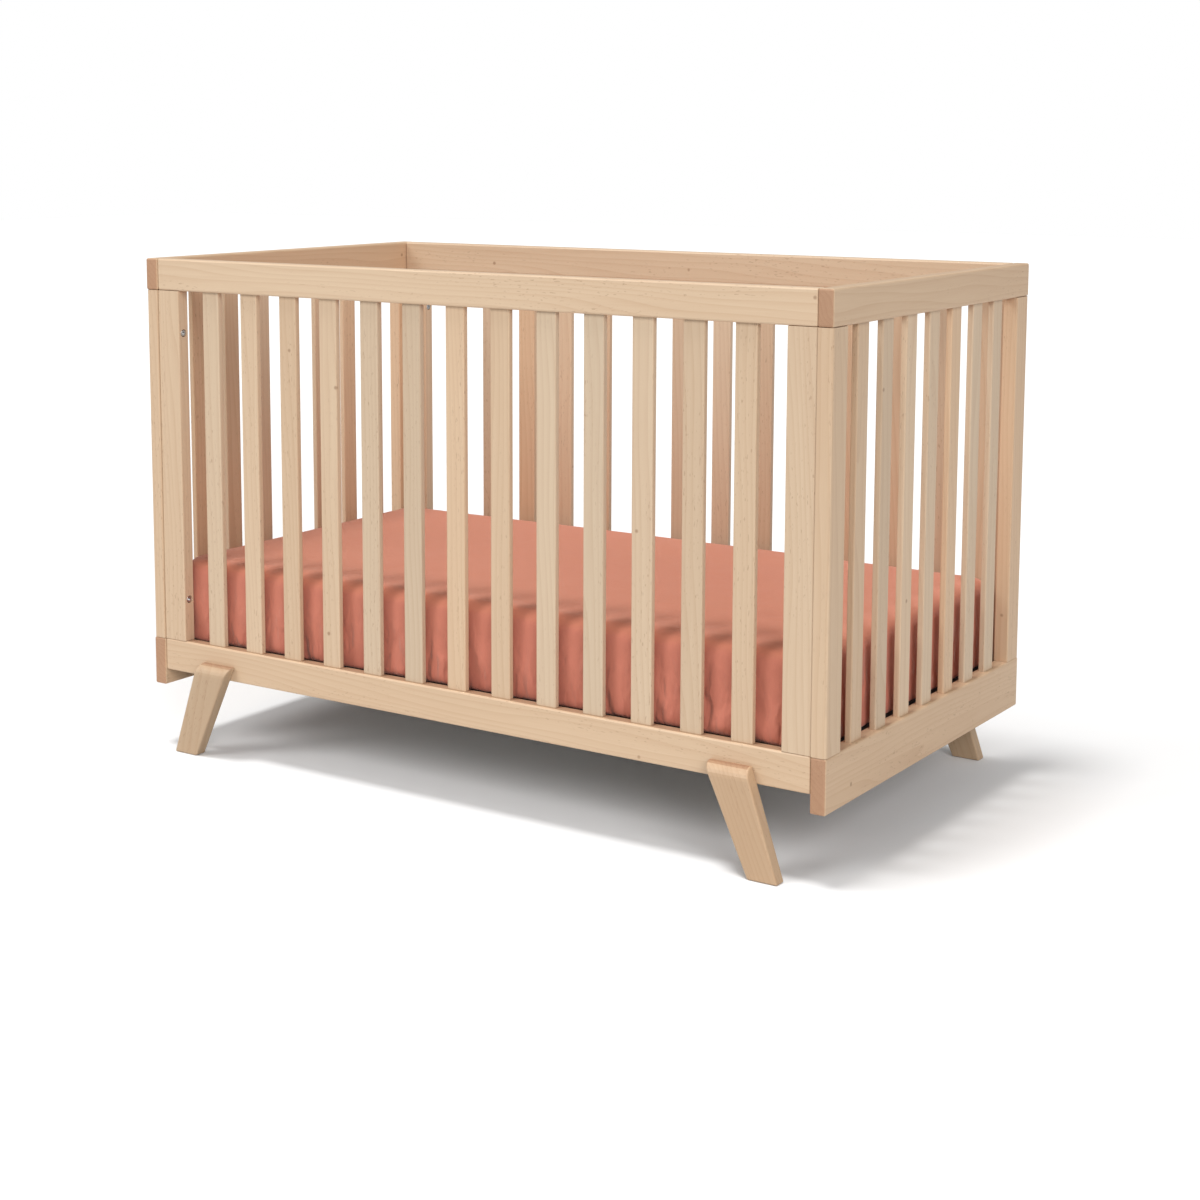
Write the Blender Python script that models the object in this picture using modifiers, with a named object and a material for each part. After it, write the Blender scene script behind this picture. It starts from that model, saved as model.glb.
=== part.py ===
"""Baby crib with slatted sides, splayed plank legs and a height-adjustable mattress support.

Run with: blender --background --python part.py, or from Blender's text editor.
Metres, +Z up. The origin is on the floor, at the middle of the crib. X runs along the length,
the front is at -Y, and "left" and "right" are as seen from the front.
"""

import math

import bmesh
import bpy
from mathutils import Matrix, Vector

# Overall sizes
CRIB_LENGTH = 1.382
PANEL_DEPTH = 0.758
CRIB_HEIGHT = 0.905

# Panel frames: rails lie across the panels, stiles stand between them
END_THICKNESS = 0.026
SIDE_THICKNESS = 0.024
SIDE_SETBACK = 0.0025
TOP_RAIL_HEIGHT = 0.057
BOTTOM_RAIL_TOP = 0.203
END_BOTTOM_RAIL_HEIGHT = 0.088
SIDE_BOTTOM_RAIL_HEIGHT = 0.059
STILE_WIDTH = 0.050

# Slats, set in the middle of the panels' thickness
SLAT_WIDTH = 0.038
SLAT_THICKNESS = 0.011
SLAT_HOUSING = 0.008
END_SLAT_COUNT = 7
SIDE_SLAT_COUNT = 13

# Tenons on the stiles' ends
TENON_LENGTH = 0.010
TENON_WIDTH = 0.028
TENON_THICKNESS = 0.010

# Edge rounding
RAIL_ROUNDING = 0.003
STILE_ROUNDING = 0.002
STILE_OUTER_ROUNDING = 0.006
SLAT_ROUNDING = 0.002
ROUNDING_SEGMENTS = 2
STILE_OUTER_SEGMENTS = 3

# Legs: tapered planks lapped on the outer faces of the side bottom rails
LEG_THICKNESS = 0.024
LEG_TOP_WIDTH = 0.074
LEG_FOOT_WIDTH = 0.052
LEG_TOP_INSET = 0.124
LEG_FOOT_INSET = 0.067
LEG_LAP = 0.028
LEG_NOSE_RADIUS = 0.019
LEG_NOSE_SEGMENTS = 6
LEG_ROUNDING = 0.0025

# Fasteners: hex-socket bolts in counterbored or plain holes
BOLT_DIAMETER = 0.006
BOLT_HOLE_CLEARANCE = 0.001
BOLT_HEAD_DIAMETER = 0.012
BOLT_HEAD_HEIGHT = 0.004
BOLT_SOCKET_WIDTH = 0.005
BOLT_SOCKET_DEPTH = 0.0025
BOLT_CHAMFER = 0.0006
COUNTERBORE_CLEARANCE = 0.002
COUNTERBORE_DEPTH = 0.005
HOLE_END_CLEARANCE = 0.001
ROUND_SEGMENTS = 16

# Where the corner bolts are, measured from the rails that they are nearest to
CORNER_BOLT_FROM_RAIL = 0.077
CORNER_BOLT_GRIP = 0.018
LEG_BOLT_SPACING = 0.036
LEG_BOLT_GRIP = 0.016

# Mattress support: a welded steel frame on two angle brackets that hook over bolts in the end panels
SUPPORT_BELOW_RAIL_TOP = 0.005
SUPPORT_STRAP_THICKNESS = 0.003
SUPPORT_STRAP_WIDTH = 0.050
SUPPORT_STRAP_COUNT = 9
SUPPORT_WELD_OVERLAP = 0.001
SUPPORT_TUBE_HEIGHT = 0.020
SUPPORT_TUBE_WIDTH = 0.020
SUPPORT_SIDE_CLEARANCE = 0.0075
SUPPORT_END_CLEARANCE = 0.001
BRACKET_THICKNESS = 0.0025
BRACKET_FLANGE = 0.026
BRACKET_DROP = 0.018
BRACKET_SIDE_CLEARANCE = 0.0025
SUPPORT_BOLT_DROP = 0.009
SUPPORT_BOLT_FROM_SIDE = 0.0115
SUPPORT_BOLT_GRIP = 0.014
HEIGHT_STEP = 0.143
HEIGHT_LEVELS = 3

# Mattress and its fitted sheet
MATTRESS_THICKNESS = 0.148
MATTRESS_SIDE_CLEARANCE = 0.006
MATTRESS_END_CLEARANCE = 0.0085
MATTRESS_CORNER_RADIUS = 0.045
MATTRESS_EDGE_RADIUS = 0.020
MATTRESS_CORNER_SEGMENTS = 4
MATTRESS_EDGE_SEGMENTS = 3
SHEET_THICKNESS = 0.0012
SHEET_HEM_WIDTH = 0.060

# Clearance between pieces that touch, and how far a cutter stands out of what it cuts
FIT_GAP = 0.0003
CUT_OVERSHOOT = 0.002

# Derived sizes and positions
BOLT_HOLE_DIAMETER = BOLT_DIAMETER + BOLT_HOLE_CLEARANCE
COUNTERBORE_DIAMETER = BOLT_HEAD_DIAMETER + COUNTERBORE_CLEARANCE
HALF_LENGTH = CRIB_LENGTH / 2
HALF_DEPTH = PANEL_DEPTH / 2
END_INNER_X = HALF_LENGTH - END_THICKNESS
END_MIDDLE_X = HALF_LENGTH - END_THICKNESS / 2
SIDE_END_X = END_INNER_X - FIT_GAP
SIDE_OUTER_Y = HALF_DEPTH - SIDE_SETBACK
SIDE_MIDDLE_Y = SIDE_OUTER_Y - SIDE_THICKNESS / 2
SIDE_INNER_Y = SIDE_OUTER_Y - SIDE_THICKNESS
TOP_RAIL_BOTTOM = CRIB_HEIGHT - TOP_RAIL_HEIGHT
END_RAIL_BOTTOM = BOTTOM_RAIL_TOP - END_BOTTOM_RAIL_HEIGHT
SIDE_RAIL_BOTTOM = BOTTOM_RAIL_TOP - SIDE_BOTTOM_RAIL_HEIGHT
LEG_TOP = SIDE_RAIL_BOTTOM + LEG_LAP
LEG_INNER_Y = SIDE_OUTER_Y + FIT_GAP
LEG_OUTER_Y = LEG_INNER_Y + LEG_THICKNESS
CORNER_BOLT_HEIGHTS = (
    ("lower", BOTTOM_RAIL_TOP + CORNER_BOLT_FROM_RAIL),
    ("upper", TOP_RAIL_BOTTOM - CORNER_BOLT_FROM_RAIL),
)
SUPPORT_TOP = BOTTOM_RAIL_TOP - SUPPORT_BELOW_RAIL_TOP
TUBE_TOP = SUPPORT_TOP - SUPPORT_STRAP_THICKNESS
TUBE_BOTTOM = TUBE_TOP - SUPPORT_TUBE_HEIGHT
BRACKET_TOP = TUBE_BOTTOM - FIT_GAP
BRACKET_BOTTOM = BRACKET_TOP - BRACKET_THICKNESS - BRACKET_DROP
BRACKET_OUTER_X = END_INNER_X - FIT_GAP
BRACKET_INNER_X = BRACKET_OUTER_X - BRACKET_THICKNESS
BRACKET_HALF_WIDTH = SIDE_INNER_Y - BRACKET_SIDE_CLEARANCE
FRAME_HALF_LENGTH = BRACKET_INNER_X - SUPPORT_END_CLEARANCE
FRAME_HALF_WIDTH = SIDE_INNER_Y - SUPPORT_SIDE_CLEARANCE
SUPPORT_BOLT_Y = SIDE_INNER_Y - SUPPORT_BOLT_FROM_SIDE
SUPPORT_BOLT_Z = BRACKET_TOP - BRACKET_THICKNESS - SUPPORT_BOLT_DROP
SHEET_BOTTOM = SUPPORT_TOP + FIT_GAP
SHEET_SHELL = SHEET_THICKNESS + FIT_GAP
SHEET_HALF_LENGTH = END_INNER_X - MATTRESS_END_CLEARANCE
SHEET_HALF_WIDTH = SIDE_INNER_Y - MATTRESS_SIDE_CLEARANCE
MATTRESS_BOTTOM = SHEET_BOTTOM + SHEET_SHELL
MATTRESS_TOP = MATTRESS_BOTTOM + MATTRESS_THICKNESS
SHEET_TOP = MATTRESS_TOP + SHEET_SHELL

# Colours are linear RGB
BEECH_COLOUR = (0.66, 0.47, 0.32)
BEECH_SLAT_COLOUR = (0.62, 0.45, 0.30)
BEECH_LEG_COLOUR = (0.60, 0.42, 0.26)
STEEL_COLOUR = (0.60, 0.60, 0.60)
FRAME_COLOUR = (0.10, 0.10, 0.10)
FOAM_COLOUR = (0.80, 0.78, 0.74)
SHEET_COLOUR = (0.60, 0.23, 0.15)


# Scene helpers

def clear_scene():
    for thing in list(bpy.data.objects):
        bpy.data.objects.remove(thing, do_unlink=True)


def make_collection(name):
    collection = bpy.data.collections.new(name)
    bpy.context.scene.collection.children.link(collection)
    return collection


def make_material(name, colour, roughness, metallic=0.0):
    material = bpy.data.materials.new(name)
    material.use_nodes = True
    shader = material.node_tree.nodes["Principled BSDF"]
    shader.inputs["Base Color"].default_value = (*colour, 1.0)
    shader.inputs["Roughness"].default_value = roughness
    shader.inputs["Metallic"].default_value = metallic
    return material


def place(name, mesh, location, material, collection):
    thing = bpy.data.objects.new(name, mesh)
    thing.location = location
    collection.objects.link(thing)
    if material is not None and not mesh.materials:
        mesh.materials.append(material)
    return thing


def shape_object(name, bm, origin, material, collection):
    """Turn a bmesh drawn in world coordinates into an object whose origin is at the given point."""
    bmesh.ops.recalc_face_normals(bm, faces=bm.faces)
    bmesh.ops.translate(bm, vec=-Vector(origin), verts=bm.verts)
    mesh = bpy.data.meshes.new(name)
    bm.to_mesh(mesh)
    bm.free()
    mesh.shade_smooth()
    mesh.set_sharp_from_angle(angle=math.radians(50))
    return place(name, mesh, origin, material, collection)


def combine(thing, bm, label, operation="DIFFERENCE"):
    """Cut the shapes in a bmesh out of an object, or join them to it. Returns the hidden helper."""
    helper = shape_object(f"{thing.name}_{label}", bm, (0, 0, 0), None, CUTTERS)
    helper.hide_render = True
    helper.display_type = "WIRE"
    modifier = thing.modifiers.new(label, "BOOLEAN")
    modifier.operation = operation
    modifier.solver = "EXACT"
    modifier.object = helper
    return helper


# Shapes

def middle(low, high):
    return (Vector(low) + Vector(high)) / 2


def add_box(bm, low, high, rounding=0.0, along=None, segments=ROUNDING_SEGMENTS):
    """Add a box between two corners. Its edges are rounded, or only those along one axis."""
    verts = bmesh.ops.create_cube(bm, size=1.0)["verts"]
    bmesh.ops.scale(bm, vec=Vector(high) - Vector(low), verts=verts)
    bmesh.ops.translate(bm, vec=middle(low, high), verts=verts)
    if rounding > 0.0:
        edges = {edge for vert in verts for edge in vert.link_edges}
        round_edges(bm, [edge for edge in edges if runs_along(edge, along)], rounding, segments)


def runs_along(edge, axis):
    if axis is None:
        return True
    direction = edge.verts[1].co - edge.verts[0].co
    return abs(direction[axis]) > 0.999 * direction.length


def round_edges(bm, edges, rounding, segments=ROUNDING_SEGMENTS):
    bmesh.ops.bevel(
        bm, geom=edges, offset=rounding, segments=segments, profile=0.5, affect="EDGES",
    )


def add_cylinder(bm, start, direction, radius, length):
    """Add a cylinder that begins at a point and runs in a direction."""
    direction = Vector(direction).normalized()
    turn = Vector((0.0, 0.0, 1.0)).rotation_difference(direction).to_matrix().to_4x4()
    centre = Matrix.Translation(Vector(start) + direction * length / 2)
    bmesh.ops.create_cone(
        bm, cap_ends=True, segments=ROUND_SEGMENTS, radius1=radius, radius2=radius,
        depth=length, matrix=centre @ turn,
    )


def add_hole(bm, mouth, direction, diameter, depth):
    """Add a drill that stands out of the hole's mouth by the overshoot."""
    direction = Vector(direction)
    start = Vector(mouth) - direction * CUT_OVERSHOOT
    add_cylinder(bm, start, direction, diameter / 2, depth + CUT_OVERSHOOT)


def board(name, low, high, material, rounding):
    bm = bmesh.new()
    add_box(bm, low, high, rounding)
    return shape_object(name, bm, middle(low, high), material, CRIB)


def evenly_spaced(span, width, count):
    """Centres of pieces of one width that share a span, measured from its middle, with equal gaps."""
    gap = (span - count * width) / (count + 1)
    first = -span / 2 + gap + width / 2
    return [first + index * (width + gap) for index in range(count)]


# Slats and stiles

def slat_corners(centre_x, centre_y, across, low_z, high_z, grow=0.0):
    """Corners of a slat that is wide along the given axis (0 for X, 1 for Y)."""
    half = Vector((SLAT_THICKNESS / 2 + grow, SLAT_THICKNESS / 2 + grow, 0.0))
    half[across] = SLAT_WIDTH / 2 + grow
    low = Vector((centre_x, centre_y, low_z - grow)) - half
    high = Vector((centre_x, centre_y, high_z + grow)) + half
    return low, high


def add_slat(bm, centre_x, centre_y, across, low_z, high_z, grow=0.0):
    low, high = slat_corners(centre_x, centre_y, across, low_z, high_z, grow)
    add_box(bm, low, high, SLAT_ROUNDING + grow, along=2)


def add_tenon(bm, centre_x, centre_y, across, low_z, high_z, grow=0.0):
    half = Vector((TENON_THICKNESS / 2 + grow, TENON_THICKNESS / 2 + grow, 0.0))
    half[across] = TENON_WIDTH / 2 + grow
    low = Vector((centre_x, centre_y, low_z - grow)) - half
    high = Vector((centre_x, centre_y, high_z + grow)) + half
    add_box(bm, low, high)


def fuse_tenons(thing, centre_x, centre_y, across):
    """Join a tenon to each end of a stile that stands between the bottom and the top rails."""
    bm = bmesh.new()
    low = BOTTOM_RAIL_TOP - TENON_LENGTH
    high = TOP_RAIL_BOTTOM + TENON_LENGTH
    add_tenon(bm, centre_x, centre_y, across, low, high)
    combine(thing, bm, "tenon", "UNION")


def cut_housings(rail, slat_centres, stile_centres, across, rail_face, depth_sign):
    """Cut the slats' housings and the stiles' mortises in a rail's face.

    depth_sign is -1 where the face looks up (a bottom rail), and 1 where it looks down."""
    bm = bmesh.new()
    for centre in slat_centres:
        ends = sorted((rail_face - depth_sign * CUT_OVERSHOOT, rail_face + depth_sign * SLAT_HOUSING))
        add_slat(bm, *centre, across, *ends, FIT_GAP)
    for centre in stile_centres:
        ends = sorted((rail_face - depth_sign * CUT_OVERSHOOT, rail_face + depth_sign * TENON_LENGTH))
        add_tenon(bm, *centre, across, *ends, FIT_GAP)
    combine(rail, bm, "housings")


# End panels

def end_stile(name, side, depth_side):
    low_x, high_x = sorted((side * END_INNER_X, side * HALF_LENGTH))
    low_y, high_y = sorted((depth_side * (HALF_DEPTH - STILE_WIDTH), depth_side * HALF_DEPTH))
    low = Vector((low_x, low_y, BOTTOM_RAIL_TOP + FIT_GAP))
    high = Vector((high_x, high_y, TOP_RAIL_BOTTOM - FIT_GAP))
    bm = bmesh.new()
    add_box(bm, low, high)
    outer = corner_edges(bm, side, depth_side)
    others = [edge for edge in bm.edges if runs_along(edge, 2) and edge not in outer]
    round_edges(bm, others, STILE_ROUNDING)
    round_edges(bm, corner_edges(bm, side, depth_side), STILE_OUTER_ROUNDING, STILE_OUTER_SEGMENTS)
    stile = shape_object(name, bm, middle(low, high), BEECH, CRIB)
    centre_y = depth_side * (HALF_DEPTH - STILE_WIDTH / 2)
    fuse_tenons(stile, side * END_MIDDLE_X, centre_y, 1)
    drills = bmesh.new()
    outward = Vector((side, 0, 0))
    for _, height in CORNER_BOLT_HEIGHTS:
        mouth = (side * END_INNER_X, depth_side * SIDE_MIDDLE_Y, height)
        add_hole(drills, mouth, outward, BOLT_HOLE_DIAMETER, CORNER_BOLT_GRIP + HOLE_END_CLEARANCE)
    for level in range(1, HEIGHT_LEVELS):
        add_support_hole(drills, side, depth_side, level)
    combine(stile, drills, "drills")


def corner_edges(bm, side, depth_side):
    """The upright edge at the crib's outer corner."""
    return [
        edge for edge in bm.edges
        if runs_along(edge, 2)
        and edge.verts[0].co.x * side > END_MIDDLE_X
        and edge.verts[0].co.y * depth_side > SIDE_MIDDLE_Y
    ]


def add_support_hole(bm, side, depth_side, level):
    mouth = (side * END_INNER_X, depth_side * SUPPORT_BOLT_Y, SUPPORT_BOLT_Z + level * HEIGHT_STEP)
    add_hole(bm, mouth, (side, 0, 0), BOLT_HOLE_DIAMETER, SUPPORT_BOLT_GRIP + HOLE_END_CLEARANCE)


def end_panel(label, side):
    low_x, high_x = sorted((side * END_INNER_X, side * HALF_LENGTH))
    slat_ys = evenly_spaced(PANEL_DEPTH - 2 * STILE_WIDTH, SLAT_WIDTH, END_SLAT_COUNT)
    slat_centres = [(side * END_MIDDLE_X, y) for y in slat_ys]
    stile_ys = [depth_side * (HALF_DEPTH - STILE_WIDTH / 2) for depth_side in (-1, 1)]
    stile_centres = [(side * END_MIDDLE_X, y) for y in stile_ys]

    top = board(
        label + "_end_top_rail", (low_x, -HALF_DEPTH, TOP_RAIL_BOTTOM),
        (high_x, HALF_DEPTH, CRIB_HEIGHT), BEECH, RAIL_ROUNDING,
    )
    cut_housings(top, slat_centres, stile_centres, 1, TOP_RAIL_BOTTOM, 1)
    bottom = board(
        label + "_end_bottom_rail", (low_x, -HALF_DEPTH, END_RAIL_BOTTOM),
        (high_x, HALF_DEPTH, BOTTOM_RAIL_TOP), BEECH, RAIL_ROUNDING,
    )
    cut_housings(bottom, slat_centres, stile_centres, 1, BOTTOM_RAIL_TOP, -1)
    drills = bmesh.new()
    for depth_side in (-1, 1):
        add_support_hole(drills, side, depth_side, 0)
    combine(bottom, drills, "drills")

    for depth_label, depth_side in DEPTH_SIDES:
        end_stile(f"{label}_end_{depth_label}_stile", side, depth_side)
    for index, centre in enumerate(slat_centres):
        bm = bmesh.new()
        add_slat(bm, *centre, 1, BOTTOM_RAIL_TOP - SLAT_HOUSING, TOP_RAIL_BOTTOM + SLAT_HOUSING)
        origin = (*centre, (BOTTOM_RAIL_TOP + TOP_RAIL_BOTTOM) / 2)
        shape_object(f"{label}_end_slat_{index + 1}", bm, origin, BEECH_SLAT, CRIB)


# Side panels

def side_stile(name, side, depth_side):
    """A side panel's stile, bolted through its width to the end panel beside it."""
    low_x, high_x = sorted((side * (SIDE_END_X - STILE_WIDTH), side * SIDE_END_X))
    low_y, high_y = sorted((depth_side * SIDE_INNER_Y, depth_side * SIDE_OUTER_Y))
    low = Vector((low_x, low_y, BOTTOM_RAIL_TOP + FIT_GAP))
    high = Vector((high_x, high_y, TOP_RAIL_BOTTOM - FIT_GAP))
    bm = bmesh.new()
    add_box(bm, low, high, STILE_ROUNDING, along=2)
    stile = shape_object(name, bm, middle(low, high), BEECH, CRIB)
    fuse_tenons(stile, side * (SIDE_END_X - STILE_WIDTH / 2), depth_side * SIDE_MIDDLE_Y, 0)
    drills = bmesh.new()
    counterbores = bmesh.new()
    outward = Vector((side, 0, 0))
    for _, height in CORNER_BOLT_HEIGHTS:
        mouth = (side * (SIDE_END_X - STILE_WIDTH), depth_side * SIDE_MIDDLE_Y, height)
        add_hole(drills, mouth, outward, BOLT_HOLE_DIAMETER, STILE_WIDTH + CUT_OVERSHOOT)
        add_hole(counterbores, mouth, outward, COUNTERBORE_DIAMETER, COUNTERBORE_DEPTH)
    combine(stile, drills, "drills")
    combine(stile, counterbores, "counterbores")


def leg_bolt_xs(side):
    """The two bolts of a leg, on either side of its middle at the bolts' height."""
    share = leg_bolt_z() / LEG_TOP
    foot_middle = HALF_LENGTH - LEG_FOOT_INSET - LEG_FOOT_WIDTH / 2
    top_middle = HALF_LENGTH - LEG_TOP_INSET - LEG_TOP_WIDTH / 2
    centre = foot_middle + (top_middle - foot_middle) * share
    return [side * (centre + offset) for offset in (-LEG_BOLT_SPACING / 2, LEG_BOLT_SPACING / 2)]


def leg_bolt_z():
    return SIDE_RAIL_BOTTOM + LEG_LAP / 2


def side_panel(label, depth_side):
    low_y, high_y = sorted((depth_side * SIDE_INNER_Y, depth_side * SIDE_OUTER_Y))
    span = 2 * (SIDE_END_X - STILE_WIDTH)
    slat_xs = evenly_spaced(span, SLAT_WIDTH, SIDE_SLAT_COUNT)
    slat_centres = [(x, depth_side * SIDE_MIDDLE_Y) for x in slat_xs]
    stile_x = SIDE_END_X - STILE_WIDTH / 2
    stile_centres = [(side * stile_x, depth_side * SIDE_MIDDLE_Y) for side in (-1, 1)]

    top = board(
        label + "_side_top_rail", (-SIDE_END_X, low_y, TOP_RAIL_BOTTOM),
        (SIDE_END_X, high_y, CRIB_HEIGHT), BEECH, RAIL_ROUNDING,
    )
    cut_housings(top, slat_centres, stile_centres, 0, TOP_RAIL_BOTTOM, 1)

    bottom = board(
        label + "_side_bottom_rail_and_slats", (-SIDE_END_X, low_y, SIDE_RAIL_BOTTOM),
        (SIDE_END_X, high_y, BOTTOM_RAIL_TOP), BEECH, RAIL_ROUNDING,
    )
    slats = bmesh.new()
    for centre in slat_centres:
        add_slat(slats, *centre, 0, BOTTOM_RAIL_TOP - SLAT_HOUSING, TOP_RAIL_BOTTOM + SLAT_HOUSING)
    combine(bottom, slats, "slats", "UNION")
    cut_housings(bottom, [], stile_centres, 0, BOTTOM_RAIL_TOP, -1)
    drills = bmesh.new()
    counterbores = bmesh.new()
    outward = Vector((0, depth_side, 0))
    for side in (-1, 1):
        for x in leg_bolt_xs(side):
            mouth = (x, depth_side * SIDE_INNER_Y, leg_bolt_z())
            add_hole(drills, mouth, outward, BOLT_HOLE_DIAMETER, SIDE_THICKNESS + CUT_OVERSHOOT)
            add_hole(counterbores, mouth, outward, COUNTERBORE_DIAMETER, COUNTERBORE_DEPTH)
    combine(bottom, drills, "drills")
    combine(bottom, counterbores, "counterbores")

    for side_label, side in LENGTH_SIDES:
        side_stile(f"{label}_side_{side_label}_stile", side, depth_side)


# Legs

def leg(name, side, depth_side):
    """A plank that tapers to its foot and leans outwards, with a nosed top edge on its outer face."""
    foot_outer = HALF_LENGTH - LEG_FOOT_INSET
    top_outer = HALF_LENGTH - LEG_TOP_INSET
    bm = bmesh.new()
    bmesh.ops.create_cube(bm, size=2.0)
    for vert in bm.verts:
        at_top = vert.co.z > 0
        outer_x = top_outer if at_top else foot_outer
        width = LEG_TOP_WIDTH if at_top else LEG_FOOT_WIDTH
        x = outer_x if vert.co.x > 0 else outer_x - width
        y = LEG_OUTER_Y if vert.co.y > 0 else LEG_INNER_Y
        vert.co = (side * x, depth_side * y, LEG_TOP if at_top else 0.0)
    bmesh.ops.recalc_face_normals(bm, faces=bm.faces)
    middle_y = (LEG_INNER_Y + LEG_OUTER_Y) / 2
    nose = [
        edge for edge in bm.edges
        if all(vert.co.z > LEG_TOP / 2 and abs(vert.co.y) > middle_y for vert in edge.verts)
    ]
    round_edges(bm, nose, LEG_NOSE_RADIUS, LEG_NOSE_SEGMENTS)
    round_edges(bm, sharp_edges(bm), LEG_ROUNDING)
    origin = (side * (top_outer - LEG_TOP_WIDTH / 2), depth_side * LEG_INNER_Y, LEG_TOP)
    plank = shape_object(name, bm, origin, BEECH_LEG, CRIB)
    drills = bmesh.new()
    for x in leg_bolt_xs(side):
        mouth = (x, depth_side * LEG_INNER_Y, leg_bolt_z())
        add_hole(drills, mouth, (0, depth_side, 0), BOLT_HOLE_DIAMETER, LEG_BOLT_GRIP + HOLE_END_CLEARANCE)
    combine(plank, drills, "drills")


def sharp_edges(bm):
    bm.normal_update()
    return [edge for edge in bm.edges if edge.calc_face_angle(0.0) > math.radians(40)]


# Bolts

def bolt_mesh(name, shank_length):
    """A turned hex-socket bolt along Z: the head's seat is at the origin, and the head is above it."""
    head_radius = BOLT_HEAD_DIAMETER / 2
    shank_radius = BOLT_DIAMETER / 2
    profile = [
        (0.0, BOLT_HEAD_HEIGHT),
        (head_radius - BOLT_CHAMFER, BOLT_HEAD_HEIGHT),
        (head_radius, BOLT_HEAD_HEIGHT - BOLT_CHAMFER),
        (head_radius, 0.0),
        (shank_radius, 0.0),
        (shank_radius, -shank_length),
        (0.0, -shank_length),
    ]
    outline = bpy.data.meshes.new(name + "_outline")
    edges = [(index, index + 1) for index in range(len(profile) - 1)]
    outline.from_pydata([(radius, 0.0, height) for radius, height in profile], edges, [])
    blank = place(name + "_blank", outline, (0, 0, 0), None, CUTTERS)
    turning = blank.modifiers.new("turning", "SCREW")
    turning.axis = "Z"
    turning.angle = math.tau
    turning.steps = ROUND_SEGMENTS
    turning.render_steps = ROUND_SEGMENTS
    turning.use_merge_vertices = True
    turning.merge_threshold = 0.00001
    key = bmesh.new()
    bmesh.ops.create_cone(
        key, cap_ends=True, segments=6, radius1=BOLT_SOCKET_WIDTH / math.sqrt(3),
        radius2=BOLT_SOCKET_WIDTH / math.sqrt(3), depth=2 * BOLT_SOCKET_DEPTH,
        matrix=Matrix.Translation((0, 0, BOLT_HEAD_HEIGHT)),
    )
    socket = combine(blank, key, "socket")
    graph = bpy.context.evaluated_depsgraph_get()
    mesh = bpy.data.meshes.new_from_object(blank.evaluated_get(graph))
    mesh.name = name
    mesh.shade_smooth()
    mesh.set_sharp_from_angle(angle=math.radians(30))
    for used in (blank, socket):
        bpy.data.objects.remove(used, do_unlink=True)
    return mesh


def place_bolt(name, mesh, seat, head_direction):
    bolt = place(name, mesh, seat, STEEL, CRIB)
    bolt.rotation_mode = "QUATERNION"
    bolt.rotation_quaternion = Vector((0, 0, 1)).rotation_difference(Vector(head_direction))


def corner_bolts():
    grip = STILE_WIDTH - COUNTERBORE_DEPTH - FIT_GAP
    mesh = bolt_mesh("corner_bolt", grip + FIT_GAP + CORNER_BOLT_GRIP)
    seat_x = SIDE_END_X - STILE_WIDTH + COUNTERBORE_DEPTH - FIT_GAP
    for depth_label, depth_side in DEPTH_SIDES:
        for side_label, side in LENGTH_SIDES:
            for height_label, height in CORNER_BOLT_HEIGHTS:
                name = f"corner_bolt_{depth_label}_{side_label}_{height_label}"
                seat = (side * seat_x, depth_side * SIDE_MIDDLE_Y, height)
                place_bolt(name, mesh, seat, (-side, 0, 0))


def leg_bolts():
    mesh = bolt_mesh("leg_bolt", SIDE_THICKNESS - COUNTERBORE_DEPTH + FIT_GAP + LEG_BOLT_GRIP)
    seat_y = SIDE_INNER_Y + COUNTERBORE_DEPTH - FIT_GAP
    for depth_label, depth_side in DEPTH_SIDES:
        for side_label, side in LENGTH_SIDES:
            for place_label, x in zip(("inner", "outer"), leg_bolt_xs(side)):
                name = f"leg_bolt_{depth_label}_{side_label}_{place_label}"
                place_bolt(name, mesh, (x, depth_side * seat_y, leg_bolt_z()), (0, -depth_side, 0))


def support_bolts():
    seat_x = BRACKET_INNER_X - FIT_GAP
    mesh = bolt_mesh("support_bolt", END_INNER_X - seat_x + SUPPORT_BOLT_GRIP)
    for depth_label, depth_side in DEPTH_SIDES:
        for side_label, side in LENGTH_SIDES:
            seat = (side * seat_x, depth_side * SUPPORT_BOLT_Y, SUPPORT_BOLT_Z)
            place_bolt(f"support_bolt_{depth_label}_{side_label}", mesh, seat, (-side, 0, 0))


# Mattress support

def support_frame():
    """A rectangle of tube with flat straps welded across its top, all one piece."""
    straps = bmesh.new()
    spacing = evenly_spaced(2 * FRAME_HALF_LENGTH, SUPPORT_STRAP_WIDTH, SUPPORT_STRAP_COUNT)
    for x in spacing:
        add_box(
            straps, (x - SUPPORT_STRAP_WIDTH / 2, -FRAME_HALF_WIDTH, TUBE_TOP - SUPPORT_WELD_OVERLAP),
            (x + SUPPORT_STRAP_WIDTH / 2, FRAME_HALF_WIDTH, SUPPORT_TOP),
        )
    opening_x = FRAME_HALF_LENGTH - SUPPORT_TUBE_WIDTH
    opening_y = FRAME_HALF_WIDTH - SUPPORT_TUBE_WIDTH
    opening = bmesh.new()
    add_box(
        opening, (-opening_x, -opening_y, TUBE_BOTTOM - CUT_OVERSHOOT),
        (opening_x, opening_y, TUBE_TOP + CUT_OVERSHOOT),
    )
    frame = board(
        "support_frame", (-FRAME_HALF_LENGTH, -FRAME_HALF_WIDTH, TUBE_BOTTOM),
        (FRAME_HALF_LENGTH, FRAME_HALF_WIDTH, TUBE_TOP), FRAME_PAINT, 0.0,
    )
    combine(frame, opening, "opening")
    combine(frame, straps, "straps", "UNION")


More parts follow.
